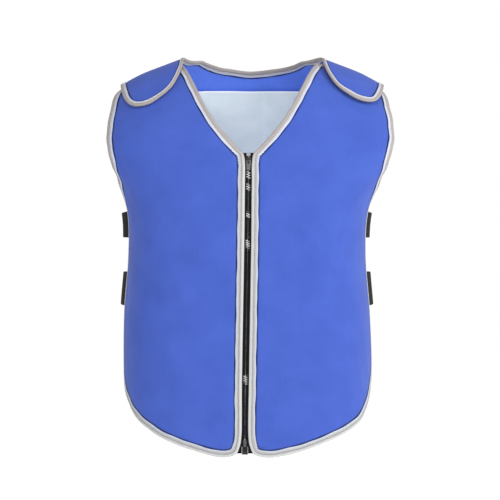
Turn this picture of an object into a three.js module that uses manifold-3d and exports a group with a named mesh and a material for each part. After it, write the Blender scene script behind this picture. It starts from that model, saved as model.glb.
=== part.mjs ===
// Cooling vest with a V neck, a full front zip, shoulder flaps and side straps, in the form it has when
// worn. Millimetres and degrees. +Z is up, the front faces -Y, and the wearer's left is at +X.
// The origin lies midway between the two neck points of the shoulder line, where the vest hangs.

import * as THREE from 'three';
import { mergeVertices } from 'three/addons/utils/BufferGeometryUtils.js';
import ManifoldModule from 'manifold-3d';

const wasm = await ManifoldModule();
wasm.setup();

// Driving dimensions of the worn form
const VEST_LENGTH = 617; // shoulder line to the lowest point of the hem
const CHEST_HALF = 196; // half width round the ribs
const FRONT_DEPTH = 121; // middle plane to the front of the belly
const BACK_DEPTH = 126; // middle plane to the shoulder blades
const FRONT_RISE = 150; // height over which the front rounds into the shoulder line
const BACK_RISE = 170; // height over which the back rounds into the shoulder line
const NECK_HALF = 106; // middle plane to a neck point
const NECK_ROUND = 40; // softening of the shoulder slope towards the neck
const SHOULDER_SLOPE = 0.39; // fall of the shoulder line for each millimetre outwards
const SLOPE_REACH = 230; // depth at which the shoulder slope has died out
const DROOP = 0.17; // extra fall for each millimetre outside DROOP_START
const DROOP_START = 172;
const DROOP_ROUND = 8; // softening where the droop begins
const SQUARENESS = 0.05; // how much fuller the chest is than an ellipse
const SIDE_TURN = 90; // degrees from the middle of the front to the side
const SPREAD = (1 + 3 * SQUARENESS) / (1 - SQUARENESS); // cloth near the middle to its sideways distance

// Driving dimensions of the cloth
const CLOTH = 2.2; // lined cloth of the panels
const TAPE = 0.6; // binding tape
const BINDING_WIDTH = 10.5; // tape that shows on each face
const BINDING_CROWN = 0.5; // how far the folded tape bulges past its edge
const GAP = 0.3; // clearance between neighbouring pieces
const FLAP_RAMP = 34; // cloth over which the back rises into the flaps
const FLAP_FADE = 0.25; // share of VEST_LENGTH down which a flap's shift dies out
const FLAPS = {
  // depth in front, middle layer above the front's, degrees further out,
  // share of VEST_LENGTH that the neck corner sits lower
  right: { reach: 60, lift: 6.4, shift: 0, neck: 0.0008 },
  left: { reach: 50, lift: 8.4, shift: 1.6, neck: -0.004 },
};

// Driving dimensions of the lining
const LINING = 1; // thickness
const LINING_HEM = 6; // width of its turned hem
const LINING_EASE = 3.1; // how loosely it hangs inside the back

// Driving dimensions of the zip
const ZIP_OPENING = 10.4; // between the two bound front edges
const ZIP_DRIFT = 5.5; // how far the zip wanders to the wearer's right at the hem
const ZIP_TOP = 157; // top end of the tapes below the shoulder line
const ZIP_FOOT = 7; // bottom end of the tapes above the lowest point of the hem
const ZIP_TAPE_REACH = 16; // middle of the zip to a tape's sewn edge
const ZIP_TAPE = 0.8; // thickness
const CHAIN_WIDTH = 6;
const CHAIN_THICKNESS = 2.6;
const BOX_HEIGHT = 12; // retainer box at the bottom
const BOX_WIDTH = 5.8; // between the tapes
const BOX_FACE = 9.8; // its face in front of the tapes
const BOX_THICKNESS = 3.6;
const BOX_LIP = 1.6; // how far the box stands below the tapes
const STOP_HEIGHT = 4.5;
const STOP_WIDTH = 2.4;
const SLIDER_LENGTH = 12;
const SLIDER_SHOULDER = 9.8; // widest part, near the top
const SLIDER_MOUTH = 8.8; // lower end
const PLATE = 1.2; // slider plates
const WEDGE_WIDTH = 3.2; // post between the plates that parts the teeth
const WEDGE_LENGTH = 3.6;
const BRIDGE_WIDTH = 2.2; // along the hinge axis
const BRIDGE_BAR = 1.2; // metal round the bridge's eye
const BRIDGE_FOOT = 4; // half length of the bridge where it meets the plate
const PULL_LENGTH = 15; // hinge axis to the tab's end
const PULL_WIDTH = 7;
const PULL_TIP = 6.2;
const PULL_THICKNESS = 1.4;

// Driving dimensions of the side straps
const STRAP = 1.6; // thickness
const STRAP_SEAT = 1.15; // clearance to the bound edges
const STRAP_TUCK = 3.4; // degrees that a strap runs on under each bound edge
const STRAP_CLEAR = 0.07; // share of the open side at each end where a strap still lies flat
const STRAPS = {
  // middle below the shoulder line, width at each end, how far it stands out between the panels
  upper: { drop: 258, front: 43, back: 40, bulge: { right: 18, left: 15 } },
  lower: { drop: 361, front: 56, back: 48, bulge: { right: 15, left: 15 } },
};

// Half width, depths and sideways lean of the form at each depth, as shares of
// VEST_LENGTH, CHEST_HALF, FRONT_DEPTH, BACK_DEPTH and CHEST_HALF
const FORM = [
  { drop: 0.0, half: 1.276, front: 0.83, back: 0.89, lean: 0.018 },
  { drop: 0.097, half: 1.282, front: 0.86, back: 0.92, lean: 0.018 },
  { drop: 0.211, half: 1.248, front: 0.893, back: 0.968, lean: 0.016 },
  { drop: 0.3, half: 1.085, front: 0.926, back: 1.0, lean: 0.004 },
  { drop: 0.381, half: 0.973, front: 0.95, back: 1.0, lean: -0.006 },
  { drop: 0.502, half: 0.957, front: 0.983, back: 0.968, lean: -0.012 },
  { drop: 0.648, half: 0.99, front: 1.0, back: 0.952, lean: -0.012 },
  { drop: 0.81, half: 1.0, front: 0.992, back: 0.952, lean: -0.004 },
  { drop: 1.005, half: 0.98, front: 0.959, back: 0.952, lean: 0.0 },
];

// Outline of a front, from its neck corner round the armhole, side and hem to the zip and up the V.
// turn: degrees out from the zip edge, drop: share of VEST_LENGTH, steps: stations to the next row,
// sag: how much lower the row hangs on the wearer's left, as a share of VEST_LENGTH
const FRONT_OUTLINE = [
  { turn: 21.2, drop: 0.006, steps: 1 },
  { turn: 25.5, drop: 0.0028, steps: 4 },
  { turn: 36.0, drop: 0.0022, steps: 4 },
  { turn: 46.0, drop: 0.0028, steps: 1 },
  { turn: 50.2, drop: 0.005, steps: 1 },
  { turn: 53.0, drop: 0.016, steps: 1 },
  { turn: 54.4, drop: 0.05, steps: 2 },
  { turn: 56.0, drop: 0.09, steps: 2 },
  { turn: 57.0, drop: 0.143, steps: 2 },
  { turn: 56.7, drop: 0.187, steps: 1 },
  { turn: 59.0, drop: 0.23, steps: 2 },
  { turn: 66.3, drop: 0.269, steps: 1 },
  { turn: 73.0, drop: 0.306, steps: 1 },
  { turn: 80.0, drop: 0.339, steps: 1 },
  { turn: 86.2, drop: 0.376, steps: 2 },
  { turn: 87.0, drop: 0.486, steps: 3 },
  { turn: 87.0, drop: 0.62, steps: 2 },
  { turn: 87.0, drop: 0.73, steps: 1 },
  { turn: 85.8, drop: 0.775, steps: 1 },
  { turn: 82.0, drop: 0.812, steps: 1, sag: -0.004 },
  { turn: 75.0, drop: 0.8476, steps: 1, sag: -0.004 },
  { turn: 67.0, drop: 0.8757, steps: 1, sag: 0.002 },
  { turn: 57.8, drop: 0.903, steps: 1, sag: 0.009 },
  { turn: 46.0, drop: 0.93, steps: 2, sag: 0.0075 },
  { turn: 34.0, drop: 0.957, steps: 2, sag: 0.003 },
  { turn: 18.1, drop: 0.985, steps: 2, sag: 0.0035 },
  { turn: 8.6, drop: 0.998, steps: 1, sag: 0.001 },
  { turn: 4.6, drop: 0.9965, steps: 1 },
  { turn: 2.0, drop: 0.989, steps: 1 },
  { turn: 0.5, drop: 0.968, steps: 1 },
  { turn: 0.0, drop: 0.945, steps: 2 },
  { turn: 0.0, drop: 0.82, steps: 2 },
  { turn: 0.0, drop: 0.62, steps: 2 },
  { turn: 0.0, drop: 0.44, steps: 2 },
  { turn: 0.0, drop: 0.32, steps: 1 },
  { turn: 0.0, drop: 0.276, steps: 1 },
  { turn: 0.6, drop: 0.2555, steps: 1 },
  { turn: 2.5, drop: 0.2418, steps: 2 },
  { turn: 7.25, drop: 0.199, steps: 2 },
  { turn: 11.1, drop: 0.152, steps: 2 },
  { turn: 14.5, drop: 0.0955, steps: 2 },
  { turn: 18.6, drop: 0.028, steps: 1 },
  { turn: 19.8, drop: 0.0135, steps: 1 },
];
const FRONT_ACROSS_STEPS = 10; // stations along the top and along the hem
const FRONT_DOWN_STEPS = 24; // stations down the armhole side and up the zip side

// Outline of half the back, from the middle of the neck over the shoulder line to the armhole and hem.
// turn: degrees out from the middle, drop: share of VEST_LENGTH, steps: stations to the next row.
// Rows with over instead of drop lie in front of the shoulder line, as shares of the flap's reach.
const BACK_OUTLINE = [
  { turn: 0.0, drop: 0.0543, steps: 1 },
  { turn: 7.3, drop: 0.0395, steps: 1 },
  { turn: 12.0, drop: 0.0218, steps: 1 },
  { turn: 15.2, drop: 0.0068, steps: 1 },
  { turn: 19.6, drop: 0.0, steps: 2 },
  { turn: 20.9, over: 0.27, steps: 1 },
  { turn: 22.4, over: 0.53, steps: 2 },
  { turn: 24.8, over: 0.76, steps: 1 },
  { turn: 28.6, over: 0.91, steps: 2 },
  { turn: 33.2, over: 1.0, steps: 2 },
  { turn: 37.6, over: 0.95, steps: 1 },
  { turn: 41.4, over: 0.78, steps: 1 },
  { turn: 44.6, over: 0.5, steps: 2 },
  { turn: 47.0, over: 0.2, steps: 2 },
  { turn: 48.6, drop: 0.0, steps: 3 },
  { turn: 50.4, drop: 0.06, steps: 3 },
  { turn: 51.4, drop: 0.18, steps: 3 },
  { turn: 57.0, drop: 0.28, steps: 2 },
  { turn: 67.0, drop: 0.35, steps: 2 },
  { turn: 70.0, drop: 0.43, steps: 3 },
  { turn: 70.0, drop: 0.6, steps: 3 },
  { turn: 70.0, drop: 0.77, steps: 1 },
  { turn: 67.5, drop: 0.846, steps: 1 },
  { turn: 60.5, drop: 0.894, steps: 2 },
  { turn: 45.0, drop: 0.934, steps: 3 },
  { turn: 28.0, drop: 0.97, steps: 3 },
  { turn: 12.0, drop: 0.99, steps: 2 },
  { turn: 0.0, drop: 0.993, steps: 0 },
];
const BACK_CORNERS = { armhole: 14, hem: 23 }; // rows where the sides begin and end
const NECK_STEPS = 4; // stations on half the neckline
const FLAP_SIDE_STEPS = 5; // stations up each side of a flap
const FLAP_END_STEPS = 6; // stations round its end
const BACK_DOWN_STEPS = 21;

// Outline of half the lining inside the back, in the same columns
const LINING_OUTLINE = [
  { turn: 0.0, drop: 0.0956, steps: 3 },
  { turn: 16.4, drop: 0.0695, steps: 3 },
  { turn: 30.0, drop: 0.042, steps: 1 },
  { turn: 37.0, drop: 0.034, steps: 1 },
  { turn: 42.0, drop: 0.055, steps: 1 },
  { turn: 44.5, drop: 0.16, steps: 2 },
  { turn: 51.5, drop: 0.29, steps: 2 },
  { turn: 61.5, drop: 0.37, steps: 1 },
  { turn: 64.5, drop: 0.5, steps: 3 },
  { turn: 64.5, drop: 0.76, steps: 1 },
  { turn: 61.0, drop: 0.83, steps: 1 },
  { turn: 54.0, drop: 0.867, steps: 2 },
  { turn: 38.0, drop: 0.91, steps: 3 },
  { turn: 16.0, drop: 0.952, steps: 2 },
  { turn: 0.0, drop: 0.96, steps: 0 },
];
const LINING_CORNERS = { armhole: 3, hem: 11 };
const LINING_ACROSS_STEPS = 14;
const LINING_DOWN_STEPS = 12;

const radians = THREE.MathUtils.degToRad;
const ACROSS_PER_DEGREE = CHEST_HALF * radians(1);
const BINDING_INSIDE = CLOTH / 2 + GAP; // layer of a binding lip's inner face
const BINDING_OUTSIDE = BINDING_INSIDE + TAPE; // layer of its outer face
const BOUND_EDGE = GAP + TAPE + BINDING_CROWN; // from a panel's edge to the outside of its binding
const ZIP_LAYER = -(BINDING_OUTSIDE + GAP + ZIP_TAPE / 2); // the zip lies behind the bound front edges

function smooth(share) {
  const t = THREE.MathUtils.clamp(share, 0, 1);
  return t * t * (3 - 2 * t);
}

// Value of a column of the form's table at a depth, as a smooth curve through the rows
function formColumn(column, drop) {
  const share = drop / VEST_LENGTH;
  const last = FORM.length - 1;
  if (share <= 0) return FORM[0][column];
  if (share >= FORM[last].drop) return FORM[last][column];
  const i = FORM.findIndex((row, k) => share < FORM[k + 1].drop);
  const slope = (k) => {
    const [below, above] = [FORM[Math.max(k - 1, 0)], FORM[Math.min(k + 1, last)]];
    return (above[column] - below[column]) / (above.drop - below.drop);
  };
  const span = FORM[i + 1].drop - FORM[i].drop;
  const t = (share - FORM[i].drop) / span;
  return (
    FORM[i][column] * (2 * t ** 3 - 3 * t ** 2 + 1) +
    FORM[i + 1][column] * (3 * t ** 2 - 2 * t ** 3) +
    slope(i) * span * (t ** 3 - 2 * t ** 2 + t) +
    slope(i + 1) * span * (t ** 3 - t ** 2)
  );
}

function shoulderLine(x) {
  const beyond = Math.abs(x) - DROOP_START;
  const droop = (DROOP * (Math.hypot(beyond, DROOP_ROUND) + beyond)) / 2;
  return SHOULDER_SLOPE * (Math.hypot(NECK_HALF, NECK_ROUND) - Math.hypot(x, NECK_ROUND)) - droop;
}

// Cloth length from the shoulder line to a depth below it, positive on the front, negative on the back
function alongOf(drop, facing) {
  const rise = facing > 0 ? FRONT_RISE : BACK_RISE;
  if (drop >= rise) return facing * (rise * (Math.PI / 2) + drop - rise);
  return facing * rise * Math.acos(1 - drop / rise);
}

function dropOf(along) {
  const rise = along > 0 ? FRONT_RISE : BACK_RISE;
  const length = Math.abs(along);
  const quarter = rise * (Math.PI / 2);
  return length >= quarter ? rise + length - quarter : rise * (1 - Math.cos(length / rise));
}

// A point of the worn form, by cloth length across from the middle and along from the shoulder line
function formPoint(across, along) {
  const facing = along > 0 ? 1 : -1;
  const rise = along > 0 ? FRONT_RISE : BACK_RISE;
  const drop = dropOf(along);
  const turn = radians(across / ACROSS_PER_DEGREE);
  const half = CHEST_HALF * formColumn('half', drop);
  const depth = along > 0 ? FRONT_DEPTH * formColumn('front', drop) : BACK_DEPTH * formColumn('back', drop);
  const swell = Math.sin(Math.min(Math.abs(along) / rise, Math.PI / 2));
  const outward = (Math.sin(turn) + SQUARENESS * Math.sin(3 * turn)) / (1 - SQUARENESS);
  const forward = (Math.cos(turn) - SQUARENESS * Math.cos(3 * turn)) / (1 - SQUARENESS);
  const x = half * outward;
  const level = shoulderLine(x) * (1 - smooth(drop / SLOPE_REACH));
  const lean = CHEST_HALF * formColumn('lean', drop);
  return new THREE.Vector3(x + lean, -facing * depth * swell * forward, level - drop);
}

// Point, outward normal and the two cloth directions of the form
function formFrame(across, along) {
  const step = 0.5;
  const point = formPoint(across, along);
  const acrossWay = formPoint(across + step, along).sub(formPoint(across - step, along));
  acrossWay.divideScalar(2 * step);
  const alongWay = formPoint(across, along + step).sub(formPoint(across, along - step));
  alongWay.divideScalar(2 * step);
  const normal = new THREE.Vector3().crossVectors(alongWay, acrossWay).normalize();
  return { point, acrossWay, alongWay, normal };
}

// The form lifted by a layer
function clothPoint(at, layer) {
  const { point, normal } = formFrame(at.x, at.y);
  return point.addScaledVector(normal, layer);
}

// Cloth length across of a point near the middle of the front, by its sideways place and depth
function acrossOf(x, drop) {
  return (x - CHEST_HALF * formColumn('lean', drop)) / (formColumn('half', drop) * SPREAD);
}

// The same by the distance from the zip's centre line, which wanders sideways on its way down
function besideZip(distance, drop) {
  const wander = ZIP_DRIFT * smooth((drop - ZIP_TOP) / (VEST_LENGTH - ZIP_TOP));
  return acrossOf(distance - wander, drop);
}

// A solid from points and faces of three or four corners, turned so that its faces point out
function closedBody(points, faces) {
  const split = ([a, b, c, d]) => (d === undefined ? [[a, b, c]] : [[a, b, c], [a, c, d]]);
  const triangles = faces.flatMap(split);
  let volume = 0;
  for (const [a, b, c] of triangles) {
    volume += points[a].dot(new THREE.Vector3().crossVectors(points[b], points[c]));
  }
  const index = triangles.flatMap(([a, b, c]) => (volume < 0 ? [a, c, b] : [a, b, c]));
  const geometry = new THREE.BufferGeometry().setFromPoints(points);
  geometry.setIndex(index);
  return geometry;
}

// Stations round a closed outline: each row's steps are shared equally along the curve to the next row
function stationsRound(rows) {
  const corners = rows.map((row) => new THREE.Vector3(row.across, row.along, 0));
  const curve = new THREE.CatmullRomCurve3(corners, true, 'centripetal');
  return rows.flatMap((row, i) =>
    Array.from({ length: row.steps }, (_, k) => curve.getPoint((i + k / row.steps) / rows.length)),
  );
}

// The outline moved inwards by a cloth width, measured on the form
function insetStations(stations, width) {
  const count = stations.length;
  const turning = stations.reduce((sum, at, i) => {
    const next = stations[(i + 1) % count];
    return sum + at.x * next.y - next.x * at.y;
  }, 0);
  return stations.map((at, i) => {
    const { acrossWay, alongWay, normal } = formFrame(at.x, at.y);
    const tangent = formPoint(stations[(i + 1) % count].x, stations[(i + 1) % count].y).sub(
      formPoint(stations[(i - 1 + count) % count].x, stations[(i - 1 + count) % count].y),
    );
    const inward = new THREE.Vector3().crossVectors(normal, tangent).normalize();
    inward.multiplyScalar(turning > 0 ? -width : width);
    const [aa, al, ll] = [acrossWay.dot(acrossWay), acrossWay.dot(alongWay), alongWay.dot(alongWay)];
    const [wa, wl] = [inward.dot(acrossWay), inward.dot(alongWay)];
    const area = aa * ll - al * al;
    return new THREE.Vector3(at.x + (wa * ll - wl * al) / area, at.y + (wl * aa - wa * al) / area, 0);
  });
}

// Grid of stations between four sides that share their corners
function fillGrid(top, bottom, inner, outer) {
  const [acrossSteps, downSteps] = [top.length - 1, inner.length - 1];
  return inner.map((_, v) =>
    top.map((__, u) => {
      const [s, t] = [u / acrossSteps, v / downSteps];
      return new THREE.Vector3()
        .addScaledVector(top[u], 1 - t)
        .addScaledVector(bottom[u], t)
        .addScaledVector(inner[v], 1 - s)
        .addScaledVector(outer[v], s)
        .addScaledVector(top[0], -(1 - s) * (1 - t))
        .addScaledVector(top[acrossSteps], -s * (1 - t))
        .addScaledVector(bottom[0], -(1 - s) * t)
        .addScaledVector(bottom[acrossSteps], -s * t);
    }),
  );
}

// Side of a loop between two stations, both counted in
function sideOf(loop, first, last) {
  return Array.from({ length: last - first + 1 }, (_, k) => loop[(first + k) % loop.length]);
}

// The single grid inside a loop that has across, down, across and down steps
function loopGrid(loop, across, down) {
  const top = sideOf(loop, 0, across);
  const outer = sideOf(loop, across, across + down);
  const bottom = sideOf(loop, across + down, 2 * across + down).reverse();
  const inner = sideOf(loop, 2 * across + down, 2 * (across + down)).reverse();
  return fillGrid(top, bottom, inner, outer);
}

// A cloth panel: two faces of its grids and of the strip between ring and edge, closed round the edge
function clothPanel(stations, ring, grids, thickness, layerAt) {
  const places = [];
  const known = new Map();
  const indexOf = (at) => {
    const key = `${at.x.toFixed(5)},${at.y.toFixed(5)}`;
    if (!known.has(key)) known.set(key, places.push(at) - 1);
    return known.get(key);
  };
  const quads = [];
  for (const grid of grids) {
    for (let v = 0; v < grid.length - 1; v += 1) {
      for (let u = 0; u < grid[v].length - 1; u += 1) {
        quads.push([grid[v][u], grid[v][u + 1], grid[v + 1][u + 1], grid[v + 1][u]].map(indexOf));
      }
    }
  }
  const count = stations.length;
  for (let i = 0; i < count; i += 1) {
    const next = (i + 1) % count;
    quads.push([ring[i], stations[i], stations[next], ring[next]].map(indexOf));
  }
  const total = places.length;
  const frames = places.map((at) => formFrame(at.x, at.y));
  const points = [1, -1].flatMap((side) =>
    places.map((at, i) =>
      frames[i].point.clone().addScaledVector(frames[i].normal, layerAt(at) + (side * thickness) / 2),
    ),
  );
  const bothFaces = ([a, b, c, d]) => [[a, b, c, d], [a + total, d + total, c + total, b + total]];
  const faces = quads.flatMap(bothFaces);
  for (let i = 0; i < count; i += 1) {
    const [a, b] = [indexOf(stations[i]), indexOf(stations[(i + 1) % count])];
    faces.push([b, a, a + total, b + total]);
  }
  return closedBody(points, faces);
}

// Binding tape folded over the edge of a panel, its lips as wide as the ring
function bindingTape(stations, ring, layerAt) {
  const count = stations.length;
  const points = [];
  const faces = [];
  const profile = 9;
  const fromEdgeToLip = [3, 7]; // these faces are split from lip to edge as the panel's are
  stations.forEach((at, i) => {
    const layer = layerAt(at);
    const [edge, lip] = [clothPoint(at, layer), clothPoint(ring[i], layerAt(ring[i]))];
    const [edgeUp, lipUp] = [formFrame(at.x, at.y).normal, formFrame(ring[i].x, ring[i].y).normal];
    const away = edge.clone().sub(lip).normalize();
    const put = (base, up, height, out) =>
      points.push(base.clone().addScaledVector(up, height).addScaledVector(away, out));
    put(lip, lipUp, BINDING_OUTSIDE, 0);
    put(edge, edgeUp, BINDING_OUTSIDE, GAP);
    put(edge, edgeUp, 0, BOUND_EDGE);
    put(edge, edgeUp, -BINDING_OUTSIDE, GAP);
    put(lip, lipUp, -BINDING_OUTSIDE, 0);
    put(lip, lipUp, -BINDING_INSIDE, 0);
    put(edge, edgeUp, -BINDING_INSIDE, GAP);
    put(edge, edgeUp, BINDING_INSIDE, GAP);
    put(lip, lipUp, BINDING_INSIDE, 0);
  });
  for (let i = 0; i < count; i += 1) {
    const next = (i + 1) % count;
    for (let k = 0; k < profile; k += 1) {
      const m = (k + 1) % profile;
      const face = [i * profile + k, i * profile + m, next * profile + m, next * profile + k];
      faces.push(fromEdgeToLip.includes(k) ? [...face.slice(1), face[0]] : face);
    }
  }
  return closedBody(points, faces);
}

// A band with a rectangular section, from a list of its four corners at each station
function band(sections) {
  const points = sections.flat();
  const faces = [[0, 1, 2, 3]];
  for (let i = 0; i < sections.length - 1; i += 1) {
    for (let k = 0; k < 4; k += 1) {
      const m = (k + 1) % 4;
      faces.push([i * 4 + k, (i + 1) * 4 + k, (i + 1) * 4 + m, i * 4 + m]);
    }
  }
  const end = (sections.length - 1) * 4;
  faces.push([end + 3, end + 2, end + 1, end]);
  return closedBody(points, faces);
}

// A strip beside the zip: distances from its centre line, depth range, and thickness about the teeth's layer
function zipStrip(near, far, top, bottom, thickness) {
  const steps = 12;
  const sections = [];
  for (let i = 0; i <= steps; i += 1) {
    const drop = THREE.MathUtils.lerp(top, bottom, i / steps);
    const along = alongOf(drop, 1);
    const corner = (distance, height) =>
      clothPoint({ x: besideZip(distance, drop), y: along }, ZIP_LAYER + height);
    sections.push([
      corner(near, thickness / 2),
      corner(far, thickness / 2),
      corner(far, -thickness / 2),
      corner(near, -thickness / 2),
    ]);
  }
  return band(sections);
}

// A side strap: a point of the form by the angle round from the middle of the front to that of the back
function girthFrame(angle, drop, side) {
  const facing = angle <= SIDE_TURN ? 1 : -1;
  const turn = facing > 0 ? angle : 2 * SIDE_TURN - angle;
  return formFrame(side * turn * ACROSS_PER_DEGREE, alongOf(drop, facing));
}

function sideStrap({ drop, front, back, bulge }, side) {
  const steps = 12;
  const frontEdge = FRONT_OUTLINE.find((row) => row.drop > 0.5).turn;
  const backEdge = 2 * SIDE_TURN - BACK_OUTLINE.find((row) => row.drop > 0.5).turn;
  const under = -(BINDING_OUTSIDE + STRAP_SEAT + STRAP / 2);
  const [first, last] = [frontEdge - STRAP_TUCK, backEdge + STRAP_TUCK];
  const sections = [];
  for (let i = 0; i <= steps; i += 1) {
    const angle = THREE.MathUtils.lerp(first, last, i / steps);
    const open = (angle - frontEdge) / (backEdge - frontEdge);
    const free = THREE.MathUtils.clamp((open - STRAP_CLEAR) / (1 - 2 * STRAP_CLEAR), 0, 1);
    const out = (side > 0 ? bulge.left : bulge.right) * Math.sin(Math.PI * free) ** 1.5;
    const half = THREE.MathUtils.lerp(front, back, smooth(open)) / 2;
    const corner = (depth, height) => {
      const { point, normal } = girthFrame(angle, depth, side);
      return point.addScaledVector(normal, under + out + height);
    };
    sections.push([
      corner(drop - half, STRAP / 2),
      corner(drop + half, STRAP / 2),
      corner(drop + half, -STRAP / 2),
      corner(drop - half, -STRAP / 2),
    ]);
  }
  return band(sections);
}

// Solids for joining and cutting
function toSolid(geometry) {
  const bare = geometry.clone();
  bare.deleteAttribute('normal');
  bare.deleteAttribute('uv');
  const merged = mergeVertices(bare, 1e-4);
  return new wasm.Manifold(
    new wasm.Mesh({
      numProp: 3,
      vertProperties: new Float32Array(merged.attributes.position.array),
      triVerts: new Uint32Array(merged.index.array),
    }),
  );
}

function fromSolid(solid) {
  const { numProp, vertProperties, triVerts } = solid.getMesh();
  const geometry = new THREE.BufferGeometry();
  const positions = new Float32Array((vertProperties.length / numProp) * 3);
  for (let i = 0; i < positions.length / 3; i += 1) {
    positions.set(vertProperties.subarray(i * numProp, i * numProp + 3), i * 3);
  }
  geometry.setAttribute('position', new THREE.BufferAttribute(positions, 3));
  geometry.setIndex(new THREE.BufferAttribute(new Uint32Array(triVerts), 1));
  return geometry;
}

// A plate of the given outline, from one height above its plane to another
function plate(shape, low, high) {
  const flat = { depth: high - low, bevelEnabled: false, curveSegments: 5 };
  const geometry = new THREE.ExtrudeGeometry(shape, flat);
  return geometry.translate(0, 0, low);
}

function block(x0, x1, y0, y1, z0, z1) {
  const geometry = new THREE.BoxGeometry(x1 - x0, y1 - y0, z1 - z0);
  return geometry.translate((x0 + x1) / 2, (y0 + y1) / 2, (z0 + z1) / 2);
}

const cloth = new THREE.MeshStandardMaterial({ color: '#3f62cf', roughness: 0.9, metalness: 0 });
const tape = new THREE.MeshStandardMaterial({ color: '#b9b8bf', roughness: 0.6, metalness: 0 });
const pale = new THREE.MeshStandardMaterial({ color: '#c4d3dc', roughness: 0.85, metalness: 0 });
const webbing = new THREE.MeshStandardMaterial({ color: '#23201e', roughness: 0.85, metalness: 0 });
const moulded = new THREE.MeshStandardMaterial({ color: '#17181a', roughness: 0.45, metalness: 0 });
const metal = new THREE.MeshStandardMaterial({ color: '#4b4e52', roughness: 0.4, metalness: 0.9 });

const vest = new THREE.Group();

function addPiece(name, geometry, material, parent = vest) {
  const mesh = new THREE.Mesh(geometry, material);
  mesh.name = name;
  parent.add(mesh);
  return mesh;
}

// Fronts: turns count from the zip edge and fade into turns from the middle towards the side
function addFront(name, side) {
  const rows = FRONT_OUTLINE.map((row) => {
    const sag = side > 0 ? (row.sag ?? 0) : 0;
    const drop = (row.drop + sag) * VEST_LENGTH;
    const zipEdge = besideZip((side * ZIP_OPENING) / 2, drop);
    const across = side * row.turn * ACROSS_PER_DEGREE + zipEdge * (1 - row.turn / SIDE_TURN);
    return { across, along: alongOf(drop, 1), steps: row.steps };
  });
  const bound = stationsRound(rows);
  const edge = insetStations(bound, BOUND_EDGE);
  const ring = insetStations(bound, BINDING_WIDTH);
  const grid = loopGrid(ring, FRONT_ACROSS_STEPS, FRONT_DOWN_STEPS);
  const flat = () => 0;
  addPiece(`front_panel_${name}`, clothPanel(edge, ring, [grid], CLOTH, flat), cloth);
  addPiece(`binding_front_${name}`, bindingTape(edge, ring, flat), tape);
}

// Stations round a whole back from the rows of one half, starting at the right armhole corner
function wholeOutline(table, corners, rowAt) {
  const half = (side) => table.map((row) => ({ ...rowAt(row, side), steps: row.steps }));
  const left = half(1);
  const upwards = half(-1).reverse();
  const steps = upwards.map((row) => row.steps);
  const right = upwards.map((row, i) => ({ ...row, steps: steps[i + 1] }));
  left[left.length - 1].steps = right[0].steps;
  const loop = [...left, ...right.slice(1, -1)];
  const start = loop.length - corners.armhole;
  return stationsRound([...loop.slice(start), ...loop.slice(0, start)]);
}

// The back rises by the flaps' lift as it comes over the shoulder line
function backLayer(at) {
  const flap = at.x > 0 ? FLAPS.left : FLAPS.right;
  return flap.lift * smooth(1 + at.y / FLAP_RAMP);
}

// Grids of the back: each flap ends at a seam across its foot, the rest hangs from the seams and the neck
function backGrids(ring) {
  const [side, end] = [FLAP_SIDE_STEPS, FLAP_END_STEPS];
  const flap = 2 * side + end; // stations from the armhole corner to the neck point
  const top = 2 * (flap + NECK_STEPS);
  const hem = 2 * (end + NECK_STEPS);
  const seam = (from, to) => Array.from({ length: end + 1 }, (_, k) => from.clone().lerp(to, k / end));
  const seamRight = seam(ring[0], ring[flap]);
  const seamLeft = seam(ring[top - flap], ring[top]);
  const flapRight = fillGrid(
    sideOf(ring, side, side + end),
    seamRight,
    sideOf(ring, 0, side).reverse(),
    sideOf(ring, side + end, flap),
  );
  const flapLeft = fillGrid(
    sideOf(ring, top - side - end, top - side),
    seamLeft,
    sideOf(ring, top - flap, top - side - end).reverse(),
    sideOf(ring, top - side, top),
  );
  const hung = fillGrid(
    [...seamRight, ...sideOf(ring, flap + 1, top - flap - 1), ...seamLeft],
    sideOf(ring, top + BACK_DOWN_STEPS, top + BACK_DOWN_STEPS + hem).reverse(),
    sideOf(ring, top + BACK_DOWN_STEPS + hem, ring.length).reverse(),
    sideOf(ring, top, top + BACK_DOWN_STEPS),
  );
  return [flapRight, flapLeft, hung];
}

function addBack() {
  const neckTurn = BACK_OUTLINE.find((row) => row.drop === 0).turn;
  const rowAt = ({ turn, drop, over }, side) => {
    const flap = side > 0 ? FLAPS.left : FLAPS.right;
    const outwards = Math.min(turn / neckTurn, 1);
    const fade = outwards * (1 - smooth((drop ?? 0) / FLAP_FADE));
    const across = side * (turn + flap.shift * fade) * ACROSS_PER_DEGREE;
    if (over !== undefined) return { across, along: alongOf(over * flap.reach, 1) };
    const fall = turn > neckTurn ? 0 : flap.neck * outwards ** 4;
    return { across, along: alongOf(Math.max(drop + fall, 0) * VEST_LENGTH, -1) };
  };
  const bound = wholeOutline(BACK_OUTLINE, BACK_CORNERS, rowAt);
  const edge = insetStations(bound, BOUND_EDGE);
  const ring = insetStations(bound, BINDING_WIDTH);
  addPiece('back_panel', clothPanel(edge, ring, backGrids(ring), CLOTH, backLayer), cloth);
  addPiece('binding_back', bindingTape(edge, ring, backLayer), tape);
}

function addLining() {
  const rowAt = ({ turn, drop }, side) => ({
    across: side * turn * ACROSS_PER_DEGREE,
    along: alongOf(drop * VEST_LENGTH, -1),
  });
  const stations = wholeOutline(LINING_OUTLINE, LINING_CORNERS, rowAt);
  const ring = insetStations(stations, LINING_HEM);
  const grid = loopGrid(ring, LINING_ACROSS_STEPS, LINING_DOWN_STEPS);
  const layer = (at) => backLayer(at) - CLOTH / 2 - LINING_EASE - LINING / 2;
  addPiece('back_lining', clothPanel(stations, ring, [grid], LINING, layer), pale);
}

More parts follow.
